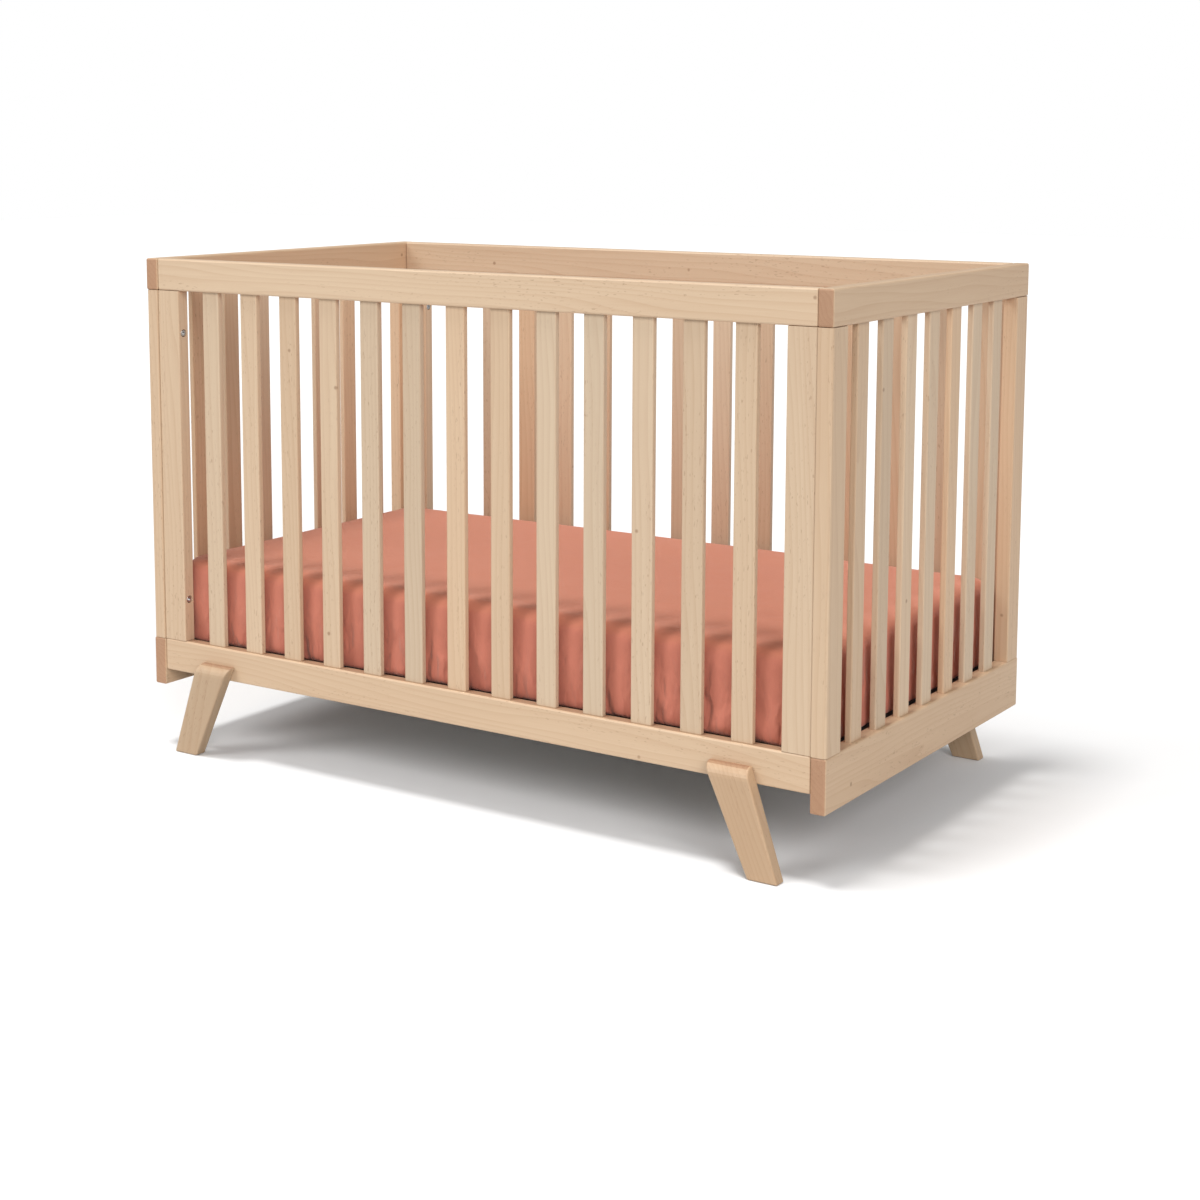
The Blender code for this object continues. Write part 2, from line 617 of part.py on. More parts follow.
def support_bracket(label, side):
    """An angle bar under one end of the frame. Open-bottomed slots in its flange drop over the bolts."""
    outer = side * BRACKET_OUTER_X
    low_x, high_x = sorted((outer, side * (BRACKET_OUTER_X - BRACKET_FLANGE)))
    bracket = board(
        f"support_bracket_{label}", (low_x, -BRACKET_HALF_WIDTH, BRACKET_TOP - BRACKET_THICKNESS),
        (high_x, BRACKET_HALF_WIDTH, BRACKET_TOP), FRAME_PAINT, 0.0,
    )
    flange = bmesh.new()
    low_x, high_x = sorted((outer, side * BRACKET_INNER_X))
    add_box(flange, (low_x, -BRACKET_HALF_WIDTH, BRACKET_BOTTOM), (high_x, BRACKET_HALF_WIDTH, BRACKET_TOP))
    slots = bmesh.new()
    slot_ends = (side * (BRACKET_INNER_X - CUT_OVERSHOOT), side * (BRACKET_OUTER_X + CUT_OVERSHOOT))
    low_x, high_x = sorted(slot_ends)
    half_slot = BOLT_HOLE_DIAMETER / 2
    for depth_side in (-1, 1):
        y = depth_side * SUPPORT_BOLT_Y
        add_box(
            slots, (low_x, y - half_slot, BRACKET_BOTTOM - CUT_OVERSHOOT),
            (high_x, y + half_slot, SUPPORT_BOLT_Z + half_slot),
        )
    combine(bracket, flange, "flange", "UNION")
    combine(bracket, slots, "slots")


# Mattress and sheet

def add_cushion(bm, half_length, half_width, bottom, top, grow=0.0):
    """A box with rounded upright corners and softer top and bottom edges."""
    add_box(
        bm, (-half_length, -half_width, bottom), (half_length, half_width, top),
        MATTRESS_CORNER_RADIUS + grow, along=2, segments=MATTRESS_CORNER_SEGMENTS,
    )
    bm.normal_update()
    rims = [
        edge for edge in bm.edges
        if abs(edge.verts[0].co.z - edge.verts[1].co.z) < FIT_GAP
        and sum(abs(face.normal.z) > 0.5 for face in edge.link_faces) == 1
    ]
    round_edges(bm, rims, MATTRESS_EDGE_RADIUS + grow, MATTRESS_EDGE_SEGMENTS)


def mattress():
    bm = bmesh.new()
    add_cushion(
        bm, SHEET_HALF_LENGTH - SHEET_SHELL, SHEET_HALF_WIDTH - SHEET_SHELL, MATTRESS_BOTTOM, MATTRESS_TOP,
    )
    shape_object("mattress", bm, (0, 0, MATTRESS_BOTTOM), FOAM, CRIB)


def fitted_sheet():
    """A thin shell over the mattress, with a hem that turns in under its edges."""
    bm = bmesh.new()
    add_cushion(bm, SHEET_HALF_LENGTH, SHEET_HALF_WIDTH, SHEET_BOTTOM, SHEET_TOP, SHEET_SHELL)
    bm.normal_update()
    underside = [face for face in bm.faces if face.normal.z < -0.99]
    bmesh.ops.inset_region(bm, faces=underside, thickness=SHEET_HEM_WIDTH - MATTRESS_EDGE_RADIUS)
    bmesh.ops.delete(bm, geom=underside, context="FACES")
    sheet = shape_object("fitted_sheet", bm, (0, 0, SHEET_BOTTOM), SHEET, CRIB)
    shell = sheet.modifiers.new("shell", "SOLIDIFY")
    shell.thickness = SHEET_THICKNESS
    shell.offset = -1.0
    shell.use_even_offset = True


clear_scene()
CRIB = make_collection("baby_crib")
CUTTERS = make_collection("cutters")

BEECH = make_material("beech", BEECH_COLOUR, 0.45)
BEECH_SLAT = make_material("beech_slat", BEECH_SLAT_COLOUR, 0.45)
BEECH_LEG = make_material("beech_leg", BEECH_LEG_COLOUR, 0.45)
STEEL = make_material("bright_steel", STEEL_COLOUR, 0.3, 1.0)
FRAME_PAINT = make_material("dark_frame_paint", FRAME_COLOUR, 0.5)
FOAM = make_material("mattress_cover", FOAM_COLOUR, 0.8)
SHEET = make_material("coral_cotton", SHEET_COLOUR, 0.85)

LENGTH_SIDES = (("left", -1), ("right", 1))
DEPTH_SIDES = (("front", -1), ("back", 1))

for end_label, end_side in LENGTH_SIDES:
    end_panel(end_label, end_side)
    support_bracket(end_label, end_side)
for row_label, row_side in DEPTH_SIDES:
    side_panel(row_label, row_side)
    for end_label, end_side in LENGTH_SIDES:
        leg(f"leg_{row_label}_{end_label}", end_side, row_side)
corner_bolts()
leg_bolts()
support_bolts()
support_frame()
mattress()
fitted_sheet()
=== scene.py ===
"""Finishes for a baby crib: oiled beech panels and legs, steel fasteners, a painted mattress
support, and a mattress in a fitted cotton sheet, on a plain studio floor.

Metres, +Z up. X runs along the crib, and the front is at -Y.
"""

import math

import bmesh
import bpy
import numpy as np
from mathutils import Euler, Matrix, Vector, noise


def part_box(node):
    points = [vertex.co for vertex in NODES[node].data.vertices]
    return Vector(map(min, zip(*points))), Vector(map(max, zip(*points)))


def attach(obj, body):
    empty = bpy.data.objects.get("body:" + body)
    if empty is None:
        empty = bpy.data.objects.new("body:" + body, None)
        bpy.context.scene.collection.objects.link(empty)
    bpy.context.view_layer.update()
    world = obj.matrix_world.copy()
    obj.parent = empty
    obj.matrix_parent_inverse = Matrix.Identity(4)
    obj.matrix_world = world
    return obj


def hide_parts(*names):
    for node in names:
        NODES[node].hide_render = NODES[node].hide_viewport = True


bl_info = {
    "name": "Baby Crib Finishes",
    "version": (1, 0, 0),
    "blender": (4, 5, 0),
    "location": "View3D > Sidebar > Crib",
    "description": "Wood, metal and bedding for a slatted baby crib",
    "category": "Object",
}

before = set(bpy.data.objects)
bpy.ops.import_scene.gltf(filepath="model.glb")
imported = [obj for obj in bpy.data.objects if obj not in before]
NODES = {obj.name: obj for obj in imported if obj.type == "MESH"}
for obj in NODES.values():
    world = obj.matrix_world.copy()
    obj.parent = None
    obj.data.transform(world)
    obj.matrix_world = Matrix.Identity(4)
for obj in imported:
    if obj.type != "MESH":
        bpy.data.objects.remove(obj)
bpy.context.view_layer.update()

SIDES = ("left", "right")
ROWS = ("front", "back")
SLATS_PER_SIDE = 13
SLATS_PER_END = 7

LENGTHWISE = (1.0, 0.0, 0.0)
CROSSWISE = (0.0, 1.0, 0.0)
UPRIGHT = (0.0, 0.0, 1.0)
TINY = 1e-9


# Sizes and colours that a user may change

def colour_property(name, description, default):
    return bpy.props.FloatVectorProperty(
        name=name, description=description, default=default, subtype="COLOR", min=0.0, max=1.0,
    )


def length_property(name, description, default, low, high):
    return bpy.props.FloatProperty(
        name=name, description=description, default=default, min=low, max=high,
        subtype="DISTANCE", unit="LENGTH", precision=4,
    )


def share_property(name, description, default):
    return bpy.props.FloatProperty(
        name=name, description=description, default=default, min=0.0, max=1.0, subtype="FACTOR",
    )


def strength_property(name, description, default):
    return bpy.props.FloatProperty(
        name=name, description=description, default=default, min=0.0, max=10.0,
    )


class CribWoodSettings(bpy.types.PropertyGroup):
    panel_pale: colour_property(
        "Panel Pale", "Lightest wood of the rails, stiles and slats", (0.645, 0.495, 0.350))
    panel_deep: colour_property(
        "Panel Deep", "Darker growth rings of the panels", (0.475, 0.305, 0.188))
    leg_pale: colour_property(
        "Leg Pale", "Lightest wood of the legs", (0.51, 0.37, 0.245))
    leg_deep: colour_property(
        "Leg Deep", "Darker growth rings of the legs", (0.39, 0.235, 0.135))
    fleck: colour_property(
        "Fleck", "Ray flecks and pin knots", (0.24, 0.12, 0.06))
    ring_spacing: length_property(
        "Ring Spacing", "Distance between growth rings", 0.0085, 0.001, 0.1)
    figure: share_property("Figure", "How strongly the grain shows", 0.62)
    # Paler rounded edges are partly wear and partly a painted highlight.
    edge_highlight_and_wear: share_property("Edge Wear", "How much paler the rounded edges are", 0.45)


class CribMetalSettings(bpy.types.PropertyGroup):
    steel: colour_property(
        "Steel", "Zinc-plated steel of the bolts", (0.56, 0.56, 0.55))
    paint: colour_property(
        "Paint", "Powder coat of the mattress support", (0.085, 0.085, 0.09))
    bare_edge: colour_property(
        "Bare Edge", "Metal that shows at worn edges", (0.33, 0.32, 0.30))


class CribBeddingSettings(bpy.types.PropertyGroup):
    sheet: colour_property(
        "Sheet", "Cotton of the fitted sheet", (0.62, 0.225, 0.135))
    # Painted shade: the darker colour drawn on the sheet's sides and towards its hem.
    sheet_painted_shade: colour_property(
        "Sheet Shade", "Cotton on the sides and towards the hem", (0.50, 0.150, 0.120))
    cover: colour_property(
        "Cover", "Ticking of the mattress", (0.78, 0.76, 0.71))
    cover_line: colour_property(
        "Cover Line", "Stripe of the ticking", (0.42, 0.47, 0.52))
    thread_spacing: length_property(
        "Thread Spacing", "Distance between threads of the cotton", 0.0006, 0.0002, 0.01)
    grid: length_property(
        "Mesh Grid", "Spacing of the cloth's points", 0.009, 0.004, 0.05)
    hem: length_property(
        "Hem", "How far the sheet turns in under the mattress", 0.060, 0.01, 0.3)
    gather: length_property(
        "Gather", "Depth of the folds that the elastic draws in", 0.0046, 0.0, 0.02)
    crown: length_property(
        "Crown", "How far the middle of the mattress stands proud", 0.003, 0.0, 0.03)


class CribStudioSettings(bpy.types.PropertyGroup):
    floor: colour_property(
        "Floor", "Studio floor", (0.93, 0.93, 0.93))
    front_strength: strength_property(
        "Front", "Strength of the light on the front, from the left", 1.04)
    top_strength: strength_property(
        "Top", "Strength of the main light, from overhead", 1.68)
    fill_strength: strength_property(
        "Fill", "Strength of the light from the right", 1.62)
    ambient: strength_property(
        "Ambient", "Strength of the light from all round", 0.34)
    lens: bpy.props.FloatProperty(
        name="Lens", description="Camera's focal length in millimetres", default=62.68,
        min=10.0, max=300.0, unit="CAMERA",
    )


# Shader helpers

def connect(tree, socket, value):
    """Feed a socket with another node's output, or set it to a plain value."""
    if isinstance(value, bpy.types.NodeSocket):
        tree.links.new(value, socket)
    else:
        socket.default_value = value


def add(tree, kind, inputs=None, **settings):
    """Add a shader node, with its options, and with inputs that are values or outputs."""
    made = tree.nodes.new(kind)
    for name, value in settings.items():
        setattr(made, name, value)
    for name, value in (inputs or {}).items():
        connect(tree, made.inputs[name], value)
    return made


def maths(tree, operation, *values, clamp=False):
    inputs = dict(enumerate(values))
    made = add(tree, "ShaderNodeMath", inputs, operation=operation, use_clamp=clamp)
    return made.outputs[0]


def along_vector(tree, operation, *values):
    """A vector sum. SCALE takes its factor last."""
    made = add(tree, "ShaderNodeVectorMath", operation=operation)
    for index, value in enumerate(values):
        is_factor = operation == "SCALE" and index == 1
        connect(tree, made.inputs["Scale" if is_factor else index], value)
    return made.outputs["Value" if operation == "DOT_PRODUCT" else "Vector"]


def split(tree, vector):
    return add(tree, "ShaderNodeSeparateXYZ", {0: vector}).outputs


def stretch(tree, vector, scale):
    return add(tree, "ShaderNodeMapping", {"Vector": vector, "Scale": scale}).outputs[0]


def blend_colour(tree, share, first, second, kind="MIX"):
    made = add(
        tree, "ShaderNodeMix", {0: share, 6: first, 7: second},
        data_type="RGBA", blend_type=kind, clamp_factor=True,
    )
    return made.outputs[2]


def tinted(tree, colour, tint):
    return blend_colour(tree, 1.0, colour, tint, "MULTIPLY")


def blend_value(tree, share, first, second):
    inputs = {0: share, 2: first, 3: second}
    return add(tree, "ShaderNodeMix", inputs, clamp_factor=True).outputs[0]


def ease(tree, value, low, high):
    """Turn a range of values smoothly into 0 to 1. It falls where low is the larger."""
    inputs = {"Value": value, "From Min": low, "From Max": high}
    made = add(tree, "ShaderNodeMapRange", inputs, interpolation_type="SMOOTHSTEP")
    return made.outputs[0]


def mottle(tree, place, scale, detail=2.0, roughness=0.5):
    inputs = {"Vector": place, "Scale": scale, "Detail": detail, "Roughness": roughness}
    return add(tree, "ShaderNodeTexNoise", inputs).outputs["Fac"]


def new_group(name, inputs, outputs):
    """A shader node group with named sockets: its tree, the sockets given to it, and its results."""
    tree = bpy.data.node_groups.new(name, "ShaderNodeTree")
    for label, kind, default in inputs:
        socket = tree.interface.new_socket(
            name=label, in_out="INPUT", socket_type="NodeSocket" + kind)
        socket.default_value = default
    for label, kind in outputs:
        tree.interface.new_socket(name=label, in_out="OUTPUT", socket_type="NodeSocket" + kind)
    given = tree.nodes.new("NodeGroupInput").outputs
    return tree, given, tree.nodes.new("NodeGroupOutput").inputs


def use_group(tree, group, inputs):
    made = tree.nodes.new("ShaderNodeGroup")
    made.node_tree = group
    for name, value in inputs.items():
        connect(tree, made.inputs[name], value)
    return made.outputs


def opaque(colour):
    return (*colour, 1.0)


def new_material(name, roughness=0.5, **constants):
    """A material with its Principled shader. Constants are the shader's own plain values."""
    material = bpy.data.materials.new(name)
    material.use_nodes = True
    shader = material.node_tree.nodes["Principled BSDF"]
    shader.inputs["Roughness"].default_value = roughness
    for label, value in constants.items():
        socket = label.replace("_", " ").title().replace("Ior", "IOR")
        shader.inputs[socket].default_value = value
    return material, material.node_tree, shader


def own_place(tree):
    """A piece's own coordinates, which ride with it."""
    return tree.nodes.new("ShaderNodeTexCoord").outputs["Object"]


def own_number(tree):
    """A number from 0 to 1 that differs from piece to piece."""
    return tree.nodes.new("ShaderNodeObjectInfo").outputs["Random"]


def surface_normal(tree, kind="Normal"):
    return tree.nodes.new("ShaderNodeNewGeometry").outputs[kind]


def bump(tree, height, strength, distance, shader, over=None):
    """Raise a surface by a height. Over is the normal of a coarser relief that this lies on."""
    inputs = {"Height": height, "Strength": strength, "Distance": distance}
    made = add(tree, "ShaderNodeBump", inputs)
    if over is not None:
        tree.links.new(over, made.inputs["Normal"])
    tree.links.new(made.outputs["Normal"], shader.inputs["Normal"])
    return made.outputs["Normal"]


def finish(piece, material):
    """Give a piece one material in all its slots."""
    slots = piece.data.materials
    if not slots:
        slots.append(material)
    for index in range(len(slots)):
        slots[index] = material


# Shared effects

BOARD_STEP = (7.31, 3.17, 5.73)      # how far a seed of 1 moves a piece through the wood
RING_SLOPE = (0.75, 0.62, 0.69)      # the direction in which growth rings follow each other
RING_WARP = 5.0                      # how many rings the pattern wanders by
RING_SHARPNESS = 2.6
WARM_BOARD = (1.045, 0.975, 0.895, 1.0)
COOL_BOARD = (0.975, 1.005, 1.015, 1.0)
END_GRAIN_PALE = (0.82, 0.68, 0.62, 1.0)
END_GRAIN_DEEP = (0.58, 0.45, 0.41, 1.0)


def wood_grain_group():
    """Beech: growth rings, fine streaks, ray flecks, pin knots, and end grain where the grain
    meets a face."""
    if "wood_grain" in bpy.data.node_groups:
        return bpy.data.node_groups["wood_grain"]
    tree, given, result = new_group(
        "wood_grain",
        [
            ("Place", "Vector", (0, 0, 0)),
            ("Grain Axis", "Vector", UPRIGHT),
            ("Seed", "Float", 0.0),
            ("Pale", "Color", (1, 1, 1, 1)),
            ("Deep", "Color", (0, 0, 0, 1)),
            ("Fleck", "Color", (0, 0, 0, 1)),
            ("Ring Spacing", "Float", 0.006),
            ("Figure", "Float", 0.5),
        ],
        [("Colour", "Color"), ("Roughness", "Float"), ("Height", "Float")],
    )
    axis = given["Grain Axis"]
    apart = along_vector(tree, "SCALE", BOARD_STEP, given["Seed"])
    place = along_vector(tree, "ADD", given["Place"], apart)
    distance = along_vector(tree, "DOT_PRODUCT", place, axis)

    def drawn_out(share):
        """The place with its run along the grain cut to a share, which draws patterns out."""
        shorten = maths(tree, "MULTIPLY", distance, 1.0 - share)
        return along_vector(tree, "SUBTRACT", place, along_vector(tree, "SCALE", axis, shorten))

    streaks = drawn_out(0.03)
    waves = drawn_out(0.11)
    tone = mottle(tree, waves, 11.0)
    warp = mottle(tree, waves, 17.0, detail=1.0)
    across = along_vector(tree, "DOT_PRODUCT", streaks, RING_SLOPE)
    turns = maths(tree, "DIVIDE", across, given["Ring Spacing"])
    turns = maths(tree, "ADD", turns, maths(tree, "MULTIPLY", warp, RING_WARP))
    ring = maths(tree, "POWER", maths(tree, "FRACT", turns), RING_SHARPNESS)
    fine = mottle(tree, streaks, 620.0, detail=3.0, roughness=0.6)
    coarse = mottle(tree, streaks, 150.0)

    fleck_field = ease(tree, mottle(tree, drawn_out(0.22), 430.0, detail=1.0), 0.645, 0.72)
    fleck_patch = ease(tree, mottle(tree, waves, 23.0, detail=1.0), 0.42, 0.62)
    flecks = maths(tree, "MULTIPLY", fleck_field, fleck_patch)
    knots = add(tree, "ShaderNodeTexVoronoi", {"Vector": place, "Scale": 10.5})
    knot = ease(tree, knots.outputs["Distance"], 0.050, 0.018)

    normal = surface_normal(tree, "True Normal")
    facing = maths(tree, "ABSOLUTE", along_vector(tree, "DOT_PRODUCT", normal, axis))
    end = ease(tree, facing, 0.72, 0.93)
    speckle = mottle(tree, place, 780.0, roughness=0.7)

    depth = maths(tree, "MULTIPLY_ADD", ring, 0.42, maths(tree, "MULTIPLY", tone, 0.75))
    depth = maths(tree, "MULTIPLY_ADD", coarse, 0.42, depth)
    depth = maths(tree, "MULTIPLY_ADD", fine, 0.38, depth)
    depth = maths(tree, "SUBTRACT", depth, 0.46)
    depth = maths(tree, "MULTIPLY", depth, given["Figure"], clamp=True)
    colour = blend_colour(tree, depth, given["Pale"], given["Deep"])

    chance = add(tree, "ShaderNodeTexWhiteNoise", {"W": given["Seed"]}, noise_dimensions="1D")
    chances = add(tree, "ShaderNodeSeparateColor", {"Color": chance.outputs["Color"]}).outputs
    colour = tinted(tree, colour, blend_colour(tree, chances[0], WARM_BOARD, COOL_BOARD))
    level = maths(tree, "MULTIPLY_ADD", chances[1], 0.11, 0.94)
    grey = add(tree, "ShaderNodeCombineColor", {0: level, 1: level, 2: level}).outputs[0]
    colour = tinted(tree, colour, grey)

    colour = blend_colour(tree, maths(tree, "MULTIPLY", flecks, 0.34), colour, given["Fleck"])
    colour = blend_colour(tree, maths(tree, "MULTIPLY", knot, 0.62), colour, given["Fleck"])
    cut = tinted(tree, colour, blend_colour(tree, speckle, END_GRAIN_PALE, END_GRAIN_DEEP))
    colour = blend_colour(tree, end, colour, cut)

    roughness = maths(tree, "MULTIPLY_ADD", fine, 0.16, 0.38)
    roughness = maths(tree, "MULTIPLY_ADD", end, 0.16, roughness)
    height = maths(tree, "MULTIPLY_ADD", ring, -0.35, maths(tree, "MULTIPLY", fine, 0.6))
    height = maths(tree, "SUBTRACT", height, maths(tree, "MULTIPLY", flecks, 0.5))
    tree.links.new(colour, result["Colour"])
    tree.links.new(roughness, result["Roughness"])
    tree.links.new(height, result["Height"])
    return tree


def rounded_edge_group():
    """Where a square-cut piece is rounded: its normal is in line with none of its three axes."""
    if "rounded_edge" in bpy.data.node_groups:
        return bpy.data.node_groups["rounded_edge"]
    tree, given, result = new_group(
        "rounded_edge",
        [
            ("Place", "Vector", (0, 0, 0)),
            ("First Axis", "Vector", UPRIGHT),
            ("Second Axis", "Vector", CROSSWISE),
        ],
        [("Mask", "Float")],
    )
    normal = surface_normal(tree)
    third = along_vector(tree, "CROSS_PRODUCT", given["First Axis"], given["Second Axis"])
    in_line = 0.0
    for axis in (given["First Axis"], given["Second Axis"], third):
        share = maths(tree, "ABSOLUTE", along_vector(tree, "DOT_PRODUCT", normal, axis))
        in_line = maths(tree, "MAXIMUM", share, in_line)
    rounded = ease(tree, in_line, 0.985, 0.86)
    # Patches along the rounded edges that are drawn paler: partly wear, partly a painted highlight.
    patches = mottle(tree, given["Place"], 26.0, detail=3.0, roughness=0.6)
    highlight_and_wear_patches = ease(tree, patches, 0.28, 0.62)
    tree.links.new(maths(tree, "MULTIPLY", rounded, highlight_and_wear_patches), result["Mask"])
    return tree


def woven_threads_group():
    """A plain weave on the faces of a soft box, with slubs, at a given thread spacing."""
    if "woven_threads" in bpy.data.node_groups:
        return bpy.data.node_groups["woven_threads"]
    tree, given, result = new_group(
        "woven_threads",
        [("Place", "Vector", (0, 0, 0)), ("Spacing", "Float", 0.0006)],
        [("Height", "Float"), ("Slub", "Float")],
    )
    facing = split(tree, surface_normal(tree, "True Normal"))
    turn = maths(tree, "DIVIDE", math.tau, given["Spacing"])
    angles = along_vector(tree, "SCALE", given["Place"], turn)
    waves = [maths(tree, "SINE", part) for part in split(tree, angles)]
    height = 0.0
    for index in range(3):
        crossing = maths(tree, "MULTIPLY", waves[(index + 1) % 3], waves[(index + 2) % 3])
        weight = maths(tree, "POWER", maths(tree, "ABSOLUTE", facing[index]), 2.0)
        height = maths(tree, "MULTIPLY_ADD", crossing, weight, height)
    slubs = stretch(tree, given["Place"], (1.0, 0.12, 0.12))
    tree.links.new(height, result["Height"])
    tree.links.new(mottle(tree, slubs, 900.0, roughness=0.6), result["Slub"])
    return tree


# Wood

LEG_TOP_WIDTH = 0.074
LEG_FOOT_WIDTH = 0.052
# Width of the painted shade line where the slats meet the rail.
JOINT_SHADE_WIDTH = 0.0005
# Paler tint of the rounded edges: partly wear, partly a painted highlight.
EDGE_HIGHLIGHT_AND_WEAR = (1.20, 1.19, 1.17, 1.0)

# Where in the wood each kind of piece is cut, how far apart two pieces of one kind may be,
# and how far apart neighbouring slats of a long side are
CUT = {
    "long_rail": 1.0, "end_rail": 2.0, "side_bottom_rail": 3.0, "stile": 5.6,
    "end_slat": 7.0, "leg": 9.0, "side_slat": 11.0,
}
PIECES_APART = 40.0
SLATS_APART = 1.37


def lean(side):
    """The direction of a leg's middle line, from its foot to its top."""
    low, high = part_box(f"leg_front_{side}")
    inwards = 1.0 if side == "left" else -1.0
    run = (high.x - low.x) - (LEG_TOP_WIDTH + LEG_FOOT_WIDTH) / 2
    return tuple(Vector((inwards * run, 0.0, high.z - low.z)).normalized())


def grain(tree, axis, seed, pale, deep, wood):
    return use_group(tree, wood_grain_group(), {
        "Place": own_place(tree), "Grain Axis": axis, "Seed": seed,
        "Pale": opaque(pale), "Deep": opaque(deep), "Fleck": opaque(wood.fleck),
        "Ring Spacing": wood.ring_spacing, "Figure": wood.figure,
    })


def oiled_surface(tree, shader, colour, roughness, height, axes, wood):
    """Make the edges that are handled most paler and smoother, partly as wear and partly as a
    painted highlight, and add the grain's relief.
    """
    worn = use_group(tree, rounded_edge_group(), {
        "Place": own_place(tree), "First Axis": axes[0], "Second Axis": axes[1],
    })["Mask"]
    share = maths(tree, "MULTIPLY", worn, wood.edge_highlight_and_wear)
    colour = blend_colour(tree, share, colour, tinted(tree, colour, EDGE_HIGHLIGHT_AND_WEAR))
    tree.links.new(colour, shader.inputs["Base Color"])
    tree.links.new(blend_value(tree, share, roughness, 0.30), shader.inputs["Roughness"])
    bump(tree, height, 0.30, 0.0003, shader)


def piece_seed(tree, kind):
    return maths(tree, "MULTIPLY_ADD", own_number(tree), PIECES_APART, CUT[kind])


def new_beech(name):
    return new_material(name, coat_weight=0.06, coat_roughness=0.35)


def beech(name, kind, axis, pale, deep, wood, second=CROSSWISE):
    """Oiled beech whose grain runs along an axis."""
    material, tree, shader = new_beech(name)
    drawn = grain(tree, axis, piece_seed(tree, kind), pale, deep, wood)
    oiled_surface(
        tree, shader, drawn["Colour"], drawn["Roughness"], drawn["Height"], (axis, second), wood)
    return material


def slat_pitch():
    """Distance between the middles of a long side's slats."""
    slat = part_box("left_end_slat_1")
    width = slat[1].y - slat[0].y
    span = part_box("front_side_right_stile")[0].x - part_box("front_side_left_stile")[1].x
    return width + (span - SLATS_PER_SIDE * width) / (SLATS_PER_SIDE + 1)


def beech_comb(wood):
    """A long side's bottom rail, with grain along it, and its slats, each with upright grain of
    its own."""
    material, tree, shader = new_beech("beech_rail_and_slats")
    parts = split(tree, own_place(tree))
    rail_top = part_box("left_end_bottom_rail")[1].z
    number = maths(tree, "ROUND", maths(tree, "DIVIDE", parts["X"], slat_pitch()))
    slat_seed = maths(tree, "MULTIPLY_ADD", number, SLATS_APART, piece_seed(tree, "side_slat"))
    pale, deep = wood.panel_pale, wood.panel_deep
    rail = grain(tree, LENGTHWISE, piece_seed(tree, "side_bottom_rail"), pale, deep, wood)
    slats = grain(tree, UPRIGHT, slat_seed, pale, deep, wood)
    is_slat = maths(tree, "GREATER_THAN", parts["Z"], rail_top + 0.0001)
    # Painted shade: a thin dark line where the slats meet the rail, drawn in the fleck colour.
    painted_joint_shade = maths(tree, "COMPARE", parts["Z"], rail_top + 0.0004, JOINT_SHADE_WIDTH)
    colour = blend_colour(tree, is_slat, rail["Colour"], slats["Colour"])
    colour = blend_colour(tree, maths(tree, "MULTIPLY", painted_joint_shade, 0.55), colour, opaque(wood.fleck))
    roughness = blend_value(tree, is_slat, rail["Roughness"], slats["Roughness"])
    height = blend_value(tree, is_slat, rail["Height"], slats["Height"])
    oiled_surface(tree, shader, colour, roughness, height, (UPRIGHT, CROSSWISE), wood)
    return material


class CRIB_OT_finish_rails(bpy.types.Operator):
    """Finish the rails and stiles in oiled beech"""
    bl_idname = "crib.finish_rails"
    bl_label = "Rails and Stiles"
    bl_options = {"REGISTER", "UNDO"}

    def execute(self, context):
        wood = context.scene.crib_wood
        tones = (wood.panel_pale, wood.panel_deep, wood)
        along = beech("beech_long_rail", "long_rail", LENGTHWISE, *tones)
        cross = beech("beech_end_rail", "end_rail", CROSSWISE, *tones, second=UPRIGHT)
        stile = beech("beech_stile", "stile", UPRIGHT, *tones)
        for row in ROWS:
            finish(NODES[f"{row}_side_top_rail"], along)
            for side in SIDES:
                finish(NODES[f"{row}_side_{side}_stile"], stile)
                finish(NODES[f"{side}_end_{row}_stile"], stile)
        for side in SIDES:
            finish(NODES[f"{side}_end_top_rail"], cross)
            finish(NODES[f"{side}_end_bottom_rail"], cross)
        return {"FINISHED"}


class CRIB_OT_finish_slats(bpy.types.Operator):
    """Finish the slats of the ends and the long sides, each from its own board"""
    bl_idname = "crib.finish_slats"
    bl_label = "Slats"
    bl_options = {"REGISTER", "UNDO"}

    def execute(self, context):
        wood = context.scene.crib_wood
        slat = beech("beech_slat", "end_slat", UPRIGHT, wood.panel_pale, wood.panel_deep, wood)
        for side in SIDES:
            for number in range(1, SLATS_PER_END + 1):
                finish(NODES[f"{side}_end_slat_{number}"], slat)
        comb = beech_comb(wood)
        for row in ROWS:
            finish(NODES[f"{row}_side_bottom_rail_and_slats"], comb)
        return {"FINISHED"}


class CRIB_OT_finish_legs(bpy.types.Operator):
    """Finish the splayed legs, with the grain down their length"""
    bl_idname = "crib.finish_legs"
    bl_label = "Legs"
    bl_options = {"REGISTER", "UNDO"}

    def execute(self, context):
        wood = context.scene.crib_wood
        for side in SIDES:
            plank = beech(
                f"beech_leg_{side}", "leg", lean(side), wood.leg_pale, wood.leg_deep, wood)
            for row in ROWS:
                finish(NODES[f"leg_{row}_{side}"], plank)
        return {"FINISHED"}


# Metal

DULL_STEEL = (0.40, 0.40, 0.40, 1.0)
DUST = (0.17, 0.165, 0.16, 1.0)
PAINT_BUILD = 0.0012                 # how far paint stays thick from a corner


def plated_steel(metal):
    """Bright plated steel with turning marks and dull patches."""
    material, tree, shader = new_material("bright_steel", metallic=1.0)
    place = own_place(tree)
    cloud = mottle(tree, place, 210.0, detail=3.0, roughness=0.6)
    marks = mottle(tree, place, 2600.0, roughness=0.7)
    tone = blend_colour(tree, cloud, opaque(metal.steel), DULL_STEEL)
    tree.links.new(tone, shader.inputs["Base Color"])
    roughness = maths(tree, "MULTIPLY_ADD", marks, 0.22, 0.18)
    roughness = maths(tree, "MULTIPLY_ADD", cloud, 0.12, roughness)
    tree.links.new(roughness, shader.inputs["Roughness"])
    bump(tree, marks, 0.15, 0.0002, shader)
    return material


